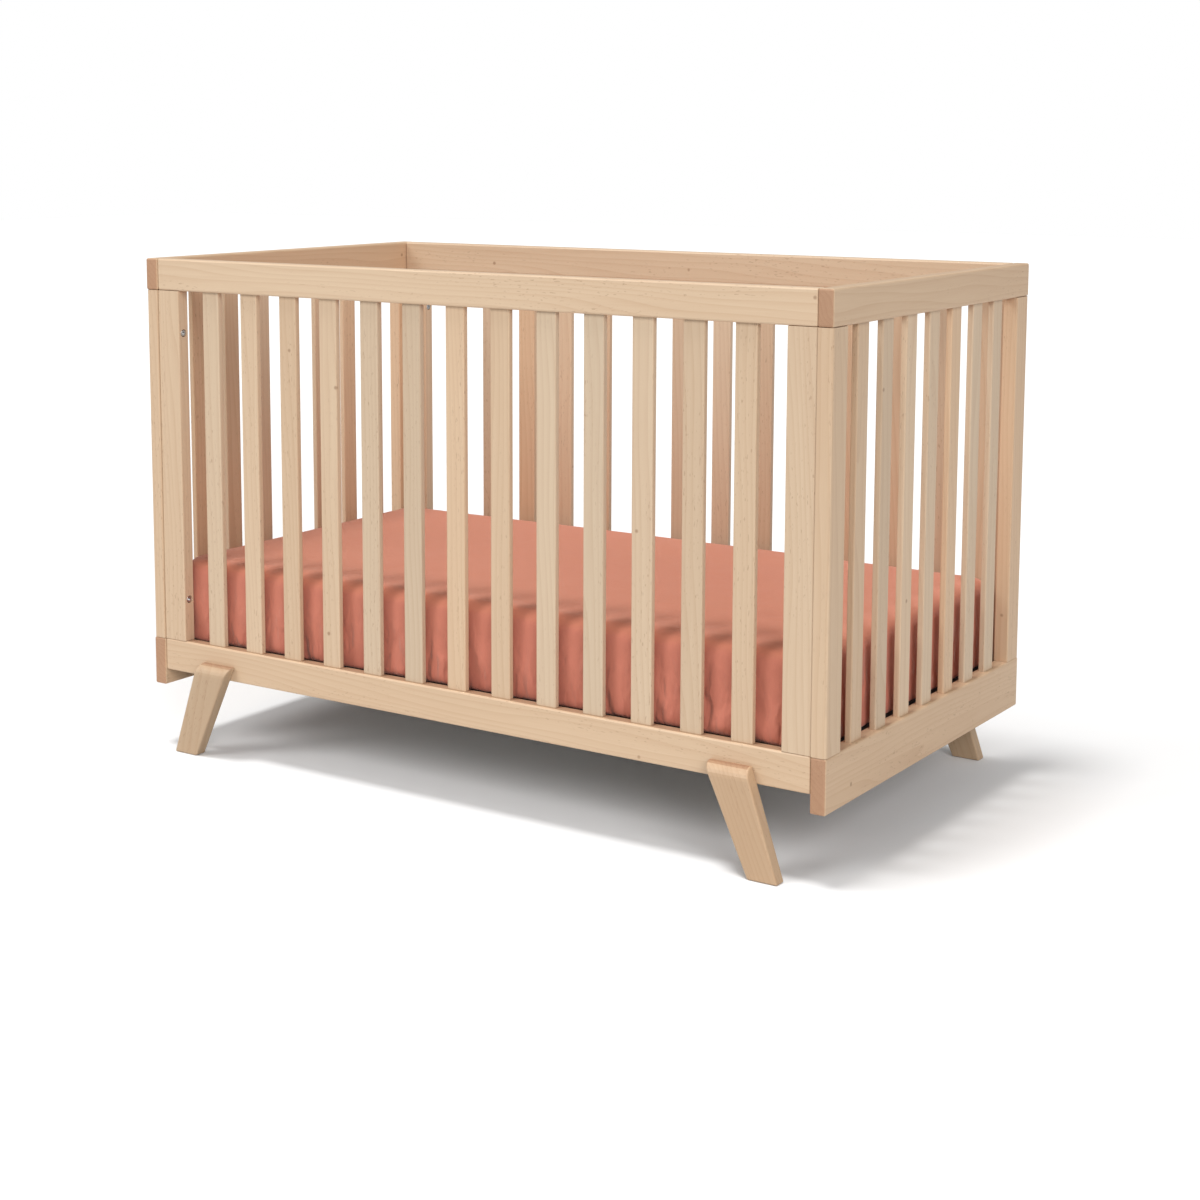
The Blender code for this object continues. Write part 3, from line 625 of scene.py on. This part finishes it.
def painted_steel(metal):
    """Powder coat with an orange-peel surface, dusty, and worn to the metal at corners."""
    material, tree, shader = new_material("dark_frame_paint", specular_ior_level=0.45)
    place = own_place(tree)
    peel = mottle(tree, place, 900.0)
    cloud = mottle(tree, place, 14.0, detail=3.0, roughness=0.6)
    soft = add(tree, "ShaderNodeBevel", {"Radius": PAINT_BUILD}, samples=4).outputs["Normal"]
    bend = along_vector(tree, "DOT_PRODUCT", soft, surface_normal(tree))
    corner = ease(tree, bend, 0.97, 0.80)
    chipped = ease(tree, mottle(tree, place, 120.0, detail=3.0, roughness=0.7), 0.50, 0.60)
    worn = maths(tree, "MULTIPLY", corner, chipped)
    dust = maths(tree, "MULTIPLY", cloud, 0.35)
    colour = blend_colour(tree, dust, opaque(metal.paint), DUST)
    colour = blend_colour(tree, worn, colour, opaque(metal.bare_edge))
    tree.links.new(colour, shader.inputs["Base Color"])
    tree.links.new(maths(tree, "MULTIPLY", worn, 0.8), shader.inputs["Metallic"])
    roughness = maths(tree, "MULTIPLY_ADD", cloud, 0.18, 0.40)
    tree.links.new(roughness, shader.inputs["Roughness"])
    bump(tree, peel, 0.12, 0.0004, shader)
    return material


class CRIB_OT_finish_fasteners(bpy.types.Operator):
    """Finish the bolts in plated steel"""
    bl_idname = "crib.finish_fasteners"
    bl_label = "Bolts"
    bl_options = {"REGISTER", "UNDO"}

    def execute(self, context):
        steel = plated_steel(context.scene.crib_metal)
        for name, node in NODES.items():
            if "_bolt_" in name:
                finish(node, steel)
        return {"FINISHED"}


class CRIB_OT_finish_support(bpy.types.Operator):
    """Finish the mattress support and its brackets in dark powder coat"""
    bl_idname = "crib.finish_support"
    bl_label = "Mattress Support"
    bl_options = {"REGISTER", "UNDO"}

    def execute(self, context):
        paint = painted_steel(context.scene.crib_metal)
        for name in ("support_frame", "support_bracket_left", "support_bracket_right"):
            finish(NODES[name], paint)
        return {"FINISHED"}


# Soft goods

MATTRESS_CORNER = 0.045
MATTRESS_EDGE = 0.020
MATTRESS_LOWER_EDGE = 0.009
MATTRESS_SPARE = 0.003               # room between the mattress and its sheet
MATTRESS_GRID = 1.2                  # how much coarser its grid is than the sheet's
QUILT_PITCH = 0.07
QUILT_DEPTH = 0.0025
SHEET_THICKNESS = 0.0008
SEAM_THREAD = (0.20, 0.045, 0.035, 1.0)
SHEEN = (1.0, 0.80, 0.70, 1.0)
AGED_COVER = (0.66, 0.62, 0.54, 1.0)

CLOTH = {
    "quality": 5, "mass": 0.3, "tension_stiffness": 15.0, "compression_stiffness": 15.0,
    "shear_stiffness": 5.0, "bending_stiffness": 0.35, "use_pressure": True,
}


def box_grid(half, low, high, spacing, hem=None):
    """Points and faces of a box's skin on an even grid. With a hem, the bottom is only a rim
    that wide."""
    spans = ((-half[0], half[0]), (-half[1], half[1]), (low, high))
    counts = [max(2, round((end - start) / spacing)) for start, end in spans]
    ticks = [np.linspace(*span, count + 1) for span, count in zip(spans, counts)]
    index, points, faces = {}, [], []

    def corner(key):
        if key not in index:
            index[key] = len(points)
            points.append(tuple(ticks[axis][key[axis]] for axis in range(3)))
        return index[key]

    def add_face(*keys):
        faces.append([corner(key) for key in keys])

    def keep_below(i, j):
        if hem is None:
            return True
        x = abs(ticks[0][i] + ticks[0][i + 1]) / 2
        y = abs(ticks[1][j] + ticks[1][j + 1]) / 2
        return x > half[0] - hem or y > half[1] - hem

    nx, ny, nz = counts
    for i in range(nx):
        for j in range(ny):
            add_face((i, j, nz), (i + 1, j, nz), (i + 1, j + 1, nz), (i, j + 1, nz))
            if keep_below(i, j):
                add_face((i, j + 1, 0), (i + 1, j + 1, 0), (i + 1, j, 0), (i, j, 0))
    for k in range(nz):
        for i in range(nx):
            add_face((i, 0, k), (i + 1, 0, k), (i + 1, 0, k + 1), (i, 0, k + 1))
            add_face((i + 1, ny, k), (i, ny, k), (i, ny, k + 1), (i + 1, ny, k + 1))
        for j in range(ny):
            add_face((0, j + 1, k), (0, j, k), (0, j, k + 1), (0, j + 1, k + 1))
            add_face((nx, j, k), (nx, j + 1, k), (nx, j + 1, k + 1), (nx, j, k + 1))
    return np.array(points), faces


def soften(points, half, low, high, corner):
    """Move points of a box's skin onto the same box with rounded corners and softer edges.

    Returns the points and their outward directions."""
    edge = np.where(points[:, 2] < (low + high) / 2, MATTRESS_LOWER_EDGE, MATTRESS_EDGE)
    turn = corner - edge
    flat = points[:, :2]
    limit = np.array(half) - corner
    core = np.clip(flat, -limit, limit)
    away = flat - core
    reach = np.linalg.norm(away, axis=1)
    pull = np.where(reach > turn, turn / np.maximum(reach, TINY), 1.0)
    level = np.clip(points[:, 2], low + edge, high - edge)
    base = np.column_stack([core + away * pull[:, None], level])
    outward = points - base
    outward /= np.maximum(np.linalg.norm(outward, axis=1), TINY)[:, None]
    return base + outward * edge[:, None], outward


def skin_object(name, points, faces):
    mesh = bpy.data.meshes.new(name)
    mesh.from_pydata([tuple(point) for point in points], [], faces)
    mesh.shade_smooth()
    piece = bpy.data.objects.new(name, mesh)
    bpy.context.scene.collection.objects.link(piece)
    return piece


def coordinates(mesh):
    values = np.empty(len(mesh.vertices) * 3)
    mesh.vertices.foreach_get("co", values)
    return values.reshape(-1, 3)


def let_cloth_settle(piece, outward, held, pressure, cap, frames, slack=0.0):
    """Swell a piece as cloth, keep each point within a cap of where it began, and apply the result.

    outward holds each point's direction out of the piece, and no point sinks in. held says which
    points stay in place, and slack is how much larger the cloth may be than the piece."""
    began = coordinates(piece.data)
    cloth = piece.modifiers.new("settle", "CLOTH")
    for name, value in CLOTH.items():
        setattr(cloth.settings, name, value)
    cloth.settings.uniform_pressure_force = pressure
    cloth.settings.effector_weights.gravity = 0.0
    cloth.settings.shrink_min = -slack
    group = piece.vertex_groups.new(name="held")
    group.add(np.nonzero(held)[0].tolist(), 1.0, "REPLACE")
    cloth.settings.vertex_group_mass = group.name
    cloth.point_cache.frame_start = 1
    cloth.point_cache.frame_end = frames
    scene = bpy.context.scene
    for step in range(1, frames + 1):
        scene.frame_set(step)
    graph = bpy.context.evaluated_depsgraph_get()
    moved = coordinates(piece.evaluated_get(graph).data) - began
    depth = (moved * outward).sum(axis=1)
    moved += outward * np.maximum(-depth, 0.0)[:, None]
    length = np.linalg.norm(moved, axis=1)
    moved *= np.minimum(1.0, cap / np.maximum(length, TINY))[:, None]
    piece.modifiers.remove(cloth)
    piece.vertex_groups.clear()
    piece.data.vertices.foreach_set("co", (began + moved).ravel())
    piece.data.update()
    scene.frame_set(1)


def refine(piece):
    """Subdivide a piece once and apply it, so that its mesh is final."""
    divide = piece.modifiers.new("smooth", "SUBSURF")
    divide.levels = 1
    divide.render_levels = 1
    graph = bpy.context.evaluated_depsgraph_get()
    mesh = bpy.data.meshes.new_from_object(piece.evaluated_get(graph))
    mesh.name = piece.name
    piece.modifiers.remove(divide)
    piece.data = mesh


def raise_crown(points, outward, half, crown):
    """Raise the top's points, from nothing at the edges to the crown in the middle."""
    along = np.clip(1.0 - (np.abs(points[:, 0]) / half[0]) ** 4, 0.0, 1.0)
    across = np.clip(1.0 - (np.abs(points[:, 1]) / half[1]) ** 2.5, 0.0, 1.0)
    points[:, 2] += np.where(outward[:, 2] > 0.5, crown * along * across, 0.0)


def quilt_underside(points, outward):
    """Draw the underside in along diagonal rows of stitching."""
    rows = [points[:, 0] + points[:, 1], points[:, 0] - points[:, 1]]
    waves = [np.sin(math.pi * row / QUILT_PITCH) for row in rows]
    puffed = np.clip(np.abs(waves[0] * waves[1]) * 3.0, 0.0, 1.0)
    points[:, 2] += np.where(outward[:, 2] < -0.98, QUILT_DEPTH * (1.0 - puffed), 0.0)


def corner_darts(tree, place, up):
    """A mask of the seams that run down the sheet's corners."""
    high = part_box("fitted_sheet")[1]
    past = along_vector(tree, "ABSOLUTE", place)
    parts = split(tree, along_vector(tree, "SUBTRACT", past, (high.x, high.y, 0.0)))
    off_corner = maths(tree, "ABSOLUTE", maths(tree, "SUBTRACT", parts["X"], parts["Y"]))
    reach = maths(tree, "ADD", parts["X"], parts["Y"])
    near_corner = maths(tree, "GREATER_THAN", reach, -MATTRESS_CORNER)
    dart = maths(tree, "MULTIPLY", ease(tree, off_corner, 0.0020, 0.0006), near_corner)
    return maths(tree, "MULTIPLY", dart, ease(tree, up, 0.80, 0.40))


def fine_creases(tree, place, height, side):
    """Fine creases of the sheet, faint on top and deepest on its sides, towards the hem."""
    low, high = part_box("fitted_sheet")
    hung = stretch(tree, place, (1.0, 1.0, 0.40))
    crease = maths(tree, "SUBTRACT", mottle(tree, hung, 17.0, detail=3.0), 0.5)
    crease = ease(tree, maths(tree, "ABSOLUTE", crease), 0.0, 0.11)
    lower = ease(tree, height, high.z - 0.01, low.z + 0.03)
    deeper = maths(tree, "MULTIPLY_ADD", maths(tree, "MULTIPLY", side, lower), 0.85, 0.08)
    return maths(tree, "MULTIPLY", crease, deeper)


def cotton(bedding):
    """Dyed cotton: a fine weave with slubs and stitched darts, and painted shade that darkens the
    sides and the cloth towards the hem."""
    material, tree, shader = new_material(
        "coral_cotton", 0.86, sheen_weight=0.35, sheen_roughness=0.45, specular_ior_level=0.25,
        sheen_tint=SHEEN,
    )
    place = own_place(tree)
    weave = use_group(
        tree, woven_threads_group(), {"Place": place, "Spacing": bedding.thread_spacing})
    cloud = mottle(tree, place, 7.0, detail=3.0, roughness=0.6)
    slub = ease(tree, weave["Slub"], 0.52, 0.72)
    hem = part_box("fitted_sheet")[0].z
    height = split(tree, place)["Z"]
    # Painted shade: the cloth on the sides and towards the hem is drawn in the darker sheet colour,
    # together with the real mottle and slubs.
    near_hem = ease(tree, height, hem + 0.05, hem)
    up = split(tree, surface_normal(tree))["Z"]
    side = ease(tree, up, 0.75, 0.15)
    painted_shade_and_mottle = maths(tree, "MULTIPLY_ADD", side, 0.34, maths(tree, "MULTIPLY", cloud, 0.22))
    painted_shade_and_mottle = maths(tree, "MULTIPLY_ADD", near_hem, 0.12, painted_shade_and_mottle)
    painted_shade_and_mottle = maths(tree, "MULTIPLY_ADD", slub, 0.14, painted_shade_and_mottle)
    colour = blend_colour(tree, painted_shade_and_mottle, opaque(bedding.sheet), opaque(bedding.sheet_painted_shade))

    dart = corner_darts(tree, place, up)
    stitch = ease(tree, maths(tree, "PINGPONG", height, 0.0016), 0.0003, 0.0009)
    seam = maths(tree, "MULTIPLY", dart, maths(tree, "MULTIPLY_ADD", stitch, 0.5, 0.4))
    colour = blend_colour(tree, seam, colour, SEAM_THREAD)
    tree.links.new(colour, shader.inputs["Base Color"])
    roughness = maths(tree, "MULTIPLY_ADD", weave["Slub"], 0.12, 0.78)
    tree.links.new(roughness, shader.inputs["Roughness"])

    rumpled = bump(tree, fine_creases(tree, place, height, side), 0.70, 0.0060, shader)
    relief = maths(tree, "MULTIPLY_ADD", dart, -4.0, weave["Height"])
    bump(tree, relief, 0.25, 0.0002, shader, over=rumpled)
    return material


def ticking(bedding):
    """White mattress ticking with a fine woven stripe."""
    material, tree, shader = new_material("mattress_cover", 0.8, sheen_weight=0.15)
    place = own_place(tree)
    weave = use_group(
        tree, woven_threads_group(), {"Place": place, "Spacing": bedding.thread_spacing * 2})
    stripe = maths(tree, "PINGPONG", split(tree, place)["Y"], 0.011)
    line = ease(tree, stripe, 0.0016, 0.0006)
    cloud = mottle(tree, place, 9.0, detail=3.0, roughness=0.6)
    aged = maths(tree, "MULTIPLY", cloud, 0.3)
    colour = blend_colour(tree, aged, opaque(bedding.cover), AGED_COVER)
    striped = maths(tree, "MULTIPLY", line, 0.6)
    colour = blend_colour(tree, striped, colour, opaque(bedding.cover_line))
    tree.links.new(colour, shader.inputs["Base Color"])
    roughness = maths(tree, "MULTIPLY_ADD", weave["Slub"], 0.14, 0.70)
    tree.links.new(roughness, shader.inputs["Roughness"])
    bump(tree, weave["Height"], 0.3, 0.0004, shader)
    return material


class CRIB_OT_make_mattress(bpy.types.Operator):
    """Make the foam mattress, with its quilted underside, in place of its plain solid"""
    bl_idname = "crib.make_mattress"
    bl_label = "Mattress"
    bl_options = {"REGISTER", "UNDO"}

    def execute(self, context):
        bedding = context.scene.crib_bedding
        low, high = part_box("mattress")
        half = (high.x - MATTRESS_SPARE, high.y - MATTRESS_SPARE)
        top = high.z - MATTRESS_SPARE
        points, faces = box_grid(half, low.z, top, bedding.grid * MATTRESS_GRID)
        points, outward = soften(points, half, low.z, top, MATTRESS_CORNER - MATTRESS_SPARE)
        piece = skin_object("foam_mattress", points, faces)
        resting = outward[:, 2] < -0.9
        let_cloth_settle(piece, outward, resting, pressure=3.0, cap=0.0022, frames=16)
        points = coordinates(piece.data)
        raise_crown(points, outward, half, bedding.crown)
        quilt_underside(points, outward)
        piece.data.vertices.foreach_set("co", points.ravel())
        refine(piece)
        finish(piece, ticking(bedding))
        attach(piece, "mattress")
        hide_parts("mattress")
        return {"FINISHED"}


def unevenness(x, y, z):
    return noise.noise(Vector((x, y, z)))


def side_folds(points, outward, low, high, depth):
    """Folds of the sheet's sides: faint at the top, most where the elastic hem draws the cloth in.

    The ends have deeper folds, as the cloth there is looser."""
    height = np.clip((points[:, 2] - low) / (high - low), 0.0, 1.0)
    sideways = np.clip(1.0 - np.abs(outward[:, 2]) * 1.2, 0.0, 1.0)
    at_end = np.clip(np.abs(outward[:, 0]), 0.0, 1.0)
    folds = np.empty(len(points))
    for index, (x, y, z) in enumerate(points):
        slant_x, slant_y = x + 0.35 * z, y - 0.45 * z
        broad = 1.0 - 3.4 * abs(unevenness(slant_x * 17.0, slant_y * 17.0, z * 5.0))
        small = 1.0 - 3.0 * abs(unevenness(slant_y * 37.0, slant_x * 37.0, z * 13.0 + 9.0))
        patch = unevenness(x * 5.0, y * 5.0, z * 3.0 + 5.0)
        folds[index] = (broad + 0.35 * small) * (0.75 + 1.1 * patch)
    folds = np.clip(folds, -0.45, 0.85)
    rise = np.clip(1.0 - height / 0.85, 0.0, 1.0) ** 0.9 + 0.12
    drawn_in = np.clip(height / 0.07, 0.0, 1.0)
    return depth * (1.0 + 0.45 * at_end) * folds * rise * drawn_in * sideways


def top_creases(points, outward, half):
    """Faint creases behind the top's edges, and drag lines that run in from the corners."""
    edge_y = half[1] - np.abs(points[:, 1])
    edge_x = half[0] - np.abs(points[:, 0])
    near_edge = np.exp(-((np.minimum(edge_x, edge_y) - 0.040) / 0.022) ** 2)
    near_corner = np.exp(-(np.hypot(edge_x, edge_y) / 0.20) ** 2)
    creases = np.empty(len(points))
    for index, (x, y, _) in enumerate(points):
        run, across = (x, y) if edge_y[index] < edge_x[index] else (y, x)
        inwards, sideways = edge_x[index] + edge_y[index], edge_x[index] - edge_y[index]
        ripple = unevenness(run * 5.0, across * 60.0, 0.4)
        drag = unevenness(inwards * 9.0, sideways * 60.0, 3.0)
        broad = unevenness(x * 6.0, y * 9.0, 7.0)
        creases[index] = (
            0.0011 * ripple * near_edge[index] + 0.0012 * drag * near_corner[index]
            + 0.0007 * broad
        )
    facing_up = np.clip((outward[:, 2] - 0.6) / 0.4, 0.0, 1.0)
    return creases * facing_up


class CRIB_OT_make_fitted_sheet(bpy.types.Operator):
    """Make the fitted cotton sheet, stretched over the mattress, with its corner seams"""
    bl_idname = "crib.make_fitted_sheet"
    bl_label = "Fitted Sheet"
    bl_options = {"REGISTER", "UNDO"}

    def execute(self, context):
        bedding = context.scene.crib_bedding
        low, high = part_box("fitted_sheet")
        half = (high.x, high.y)
        points, faces = box_grid(half, low.z, high.z, bedding.grid, bedding.hem)
        points, outward = soften(points, half, low.z, high.z, MATTRESS_CORNER)
        piece = skin_object("coral_fitted_sheet", points, faces)
        under = outward[:, 2] < -0.85
        let_cloth_settle(piece, outward, under, pressure=0.6, cap=0.0018, frames=14, slack=0.006)
        points = coordinates(piece.data)
        folds = side_folds(points, outward, low.z, high.z, bedding.gather)
        creases = top_creases(points, outward, half)
        points += outward * (folds + creases)[:, None]
        raise_crown(points, outward, half, bedding.crown)
        piece.data.vertices.foreach_set("co", points.ravel())
        refine(piece)
        shell = piece.modifiers.new("cloth_thickness", "SOLIDIFY")
        shell.thickness = SHEET_THICKNESS
        shell.offset = -1.0
        finish(piece, cotton(bedding))
        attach(piece, "mattress")
        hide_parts("fitted_sheet")
        return {"FINISHED"}


# Studio

# Where each light comes from, and how wide its source looks in degrees
FRONT_LIGHT = ((-0.60, -0.95, 0.75), 24.0)
TOP_LIGHT = ((-0.13, -0.15, 1.0), 14.0)
FILL_LIGHT = ((1.0, -0.84, 0.60), 32.0)
LIGHT_DISTANCE = 4.0

WHITE = (1.0, 1.0, 1.0, 1.0)
FLOOR_SIZE = 20.0
FLOOR_DROP = 0.0005                  # keeps the floor clear of the feet
FLOOR_PATCH = 0.985                  # how dark the floor's darker patches are
FLOOR_BOUNCE = 0.66                  # how much of its colour the floor sends back up

CAMERA_PLACE = (2.0424, -3.1090, 1.1211)
CAMERA_DOWN = 7.362
CAMERA_TURN = 34.359
CAMERA_SHIFT = (0.05, -0.16)
SENSOR_WIDTH = 36.0


def soft_light(name, light, strength):
    """Even light from one direction."""
    towards, softness = Vector(light[0]), light[1]
    lamp = bpy.data.lights.new(name, "SUN")
    lamp.energy = strength
    lamp.angle = math.radians(softness)
    holder = bpy.data.objects.new(name, lamp)
    holder.location = towards.normalized() * LIGHT_DISTANCE
    holder.rotation_euler = towards.to_track_quat("Z", "Y").to_euler()
    bpy.context.scene.collection.objects.link(holder)


def seen_directly(tree):
    """1 where the camera looks straight at a surface or the surroundings, 0 for bounced light."""
    return tree.nodes.new("ShaderNodeLightPath").outputs["Is Camera Ray"]


def floor_material(colour):
    """Matt painted floor with a barely visible unevenness."""
    material, tree, shader = new_material("studio_floor", 0.9, specular_ior_level=0.1)
    cloud = mottle(tree, own_place(tree), 0.8)
    darker = tuple(FLOOR_PATCH * part for part in colour)
    painted = blend_colour(tree, cloud, opaque(colour), opaque(darker))
    bounced = tuple(FLOOR_BOUNCE * part for part in colour)
    shown = blend_colour(tree, seen_directly(tree), opaque(bounced), painted)
    tree.links.new(shown, shader.inputs["Base Color"])
    return material


class CRIB_OT_set_stage(bpy.types.Operator):
    """Set the studio floor, the soft lights and the camera"""
    bl_idname = "crib.set_stage"
    bl_label = "Studio"
    bl_options = {"REGISTER", "UNDO"}

    def execute(self, context):
        studio = context.scene.crib_studio
        scene = context.scene
        bm = bmesh.new()
        bmesh.ops.create_grid(bm, x_segments=8, y_segments=8, size=FLOOR_SIZE)
        mesh = bpy.data.meshes.new("studio_floor")
        bm.to_mesh(mesh)
        bm.free()
        floor = bpy.data.objects.new("studio_floor", mesh)
        floor.location.z = -FLOOR_DROP
        scene.collection.objects.link(floor)
        finish(floor, floor_material(studio.floor))

        soft_light("front_light", FRONT_LIGHT, studio.front_strength)
        soft_light("top_light", TOP_LIGHT, studio.top_strength)
        soft_light("fill_light", FILL_LIGHT, studio.fill_strength)

        world = bpy.data.worlds.new("studio")
        world.use_nodes = True
        tree = world.node_tree
        sky = tree.nodes["Background"]
        sky.inputs["Color"].default_value = WHITE
        glow = blend_value(tree, seen_directly(tree), studio.ambient, 1.0)
        tree.links.new(glow, sky.inputs["Strength"])
        scene.world = world
        scene.view_settings.view_transform = "Standard"

        data = bpy.data.cameras.new("studio_camera")
        data.sensor_width = SENSOR_WIDTH
        data.lens = studio.lens
        data.shift_x, data.shift_y = CAMERA_SHIFT
        camera = bpy.data.objects.new("studio_camera", data)
        camera.location = CAMERA_PLACE
        tilt, turn = math.radians(90.0 - CAMERA_DOWN), math.radians(CAMERA_TURN)
        camera.rotation_euler = Euler((tilt, 0.0, turn))
        scene.collection.objects.link(camera)
        scene.camera = camera
        return {"FINISHED"}


OPERATORS = (
    CRIB_OT_finish_rails, CRIB_OT_finish_slats, CRIB_OT_finish_legs, CRIB_OT_finish_fasteners,
    CRIB_OT_finish_support, CRIB_OT_make_mattress, CRIB_OT_make_fitted_sheet, CRIB_OT_set_stage,
)

SETTINGS = (
    ("Wood", "crib_wood", CribWoodSettings),
    ("Metal", "crib_metal", CribMetalSettings),
    ("Bedding", "crib_bedding", CribBeddingSettings),
    ("Studio", "crib_studio", CribStudioSettings),
)


class CRIB_PT_finishes(bpy.types.Panel):
    """Lists the crib's settings and the steps that make its finishes"""
    bl_idname = "CRIB_PT_finishes"
    bl_label = "Baby Crib"
    bl_space_type = "VIEW_3D"
    bl_region_type = "UI"
    bl_category = "Crib"

    def draw(self, context):
        layout = self.layout
        for title, holder, kind in SETTINGS:
            box = layout.box()
            box.label(text=title)
            group = getattr(context.scene, holder)
            for name in kind.__annotations__:
                box.prop(group, name)
        for operator in OPERATORS:
            layout.operator(operator.bl_idname)


def register():
    for _, holder, kind in SETTINGS:
        bpy.utils.register_class(kind)
        setattr(bpy.types.Scene, holder, bpy.props.PointerProperty(type=kind))
    for kind in (*OPERATORS, CRIB_PT_finishes):
        bpy.utils.register_class(kind)


def unregister():
    for kind in reversed((*OPERATORS, CRIB_PT_finishes)):
        bpy.utils.unregister_class(kind)
    for _, holder, kind in reversed(SETTINGS):
        delattr(bpy.types.Scene, holder)
        bpy.utils.unregister_class(kind)


def main():
    register()
    bpy.ops.crib.finish_rails()
    bpy.ops.crib.finish_slats()
    bpy.ops.crib.finish_legs()
    bpy.ops.crib.finish_fasteners()
    bpy.ops.crib.finish_support()
    bpy.ops.crib.make_mattress()
    bpy.ops.crib.make_fitted_sheet()
    bpy.ops.crib.set_stage()


if __name__ == "__main__":
    main()
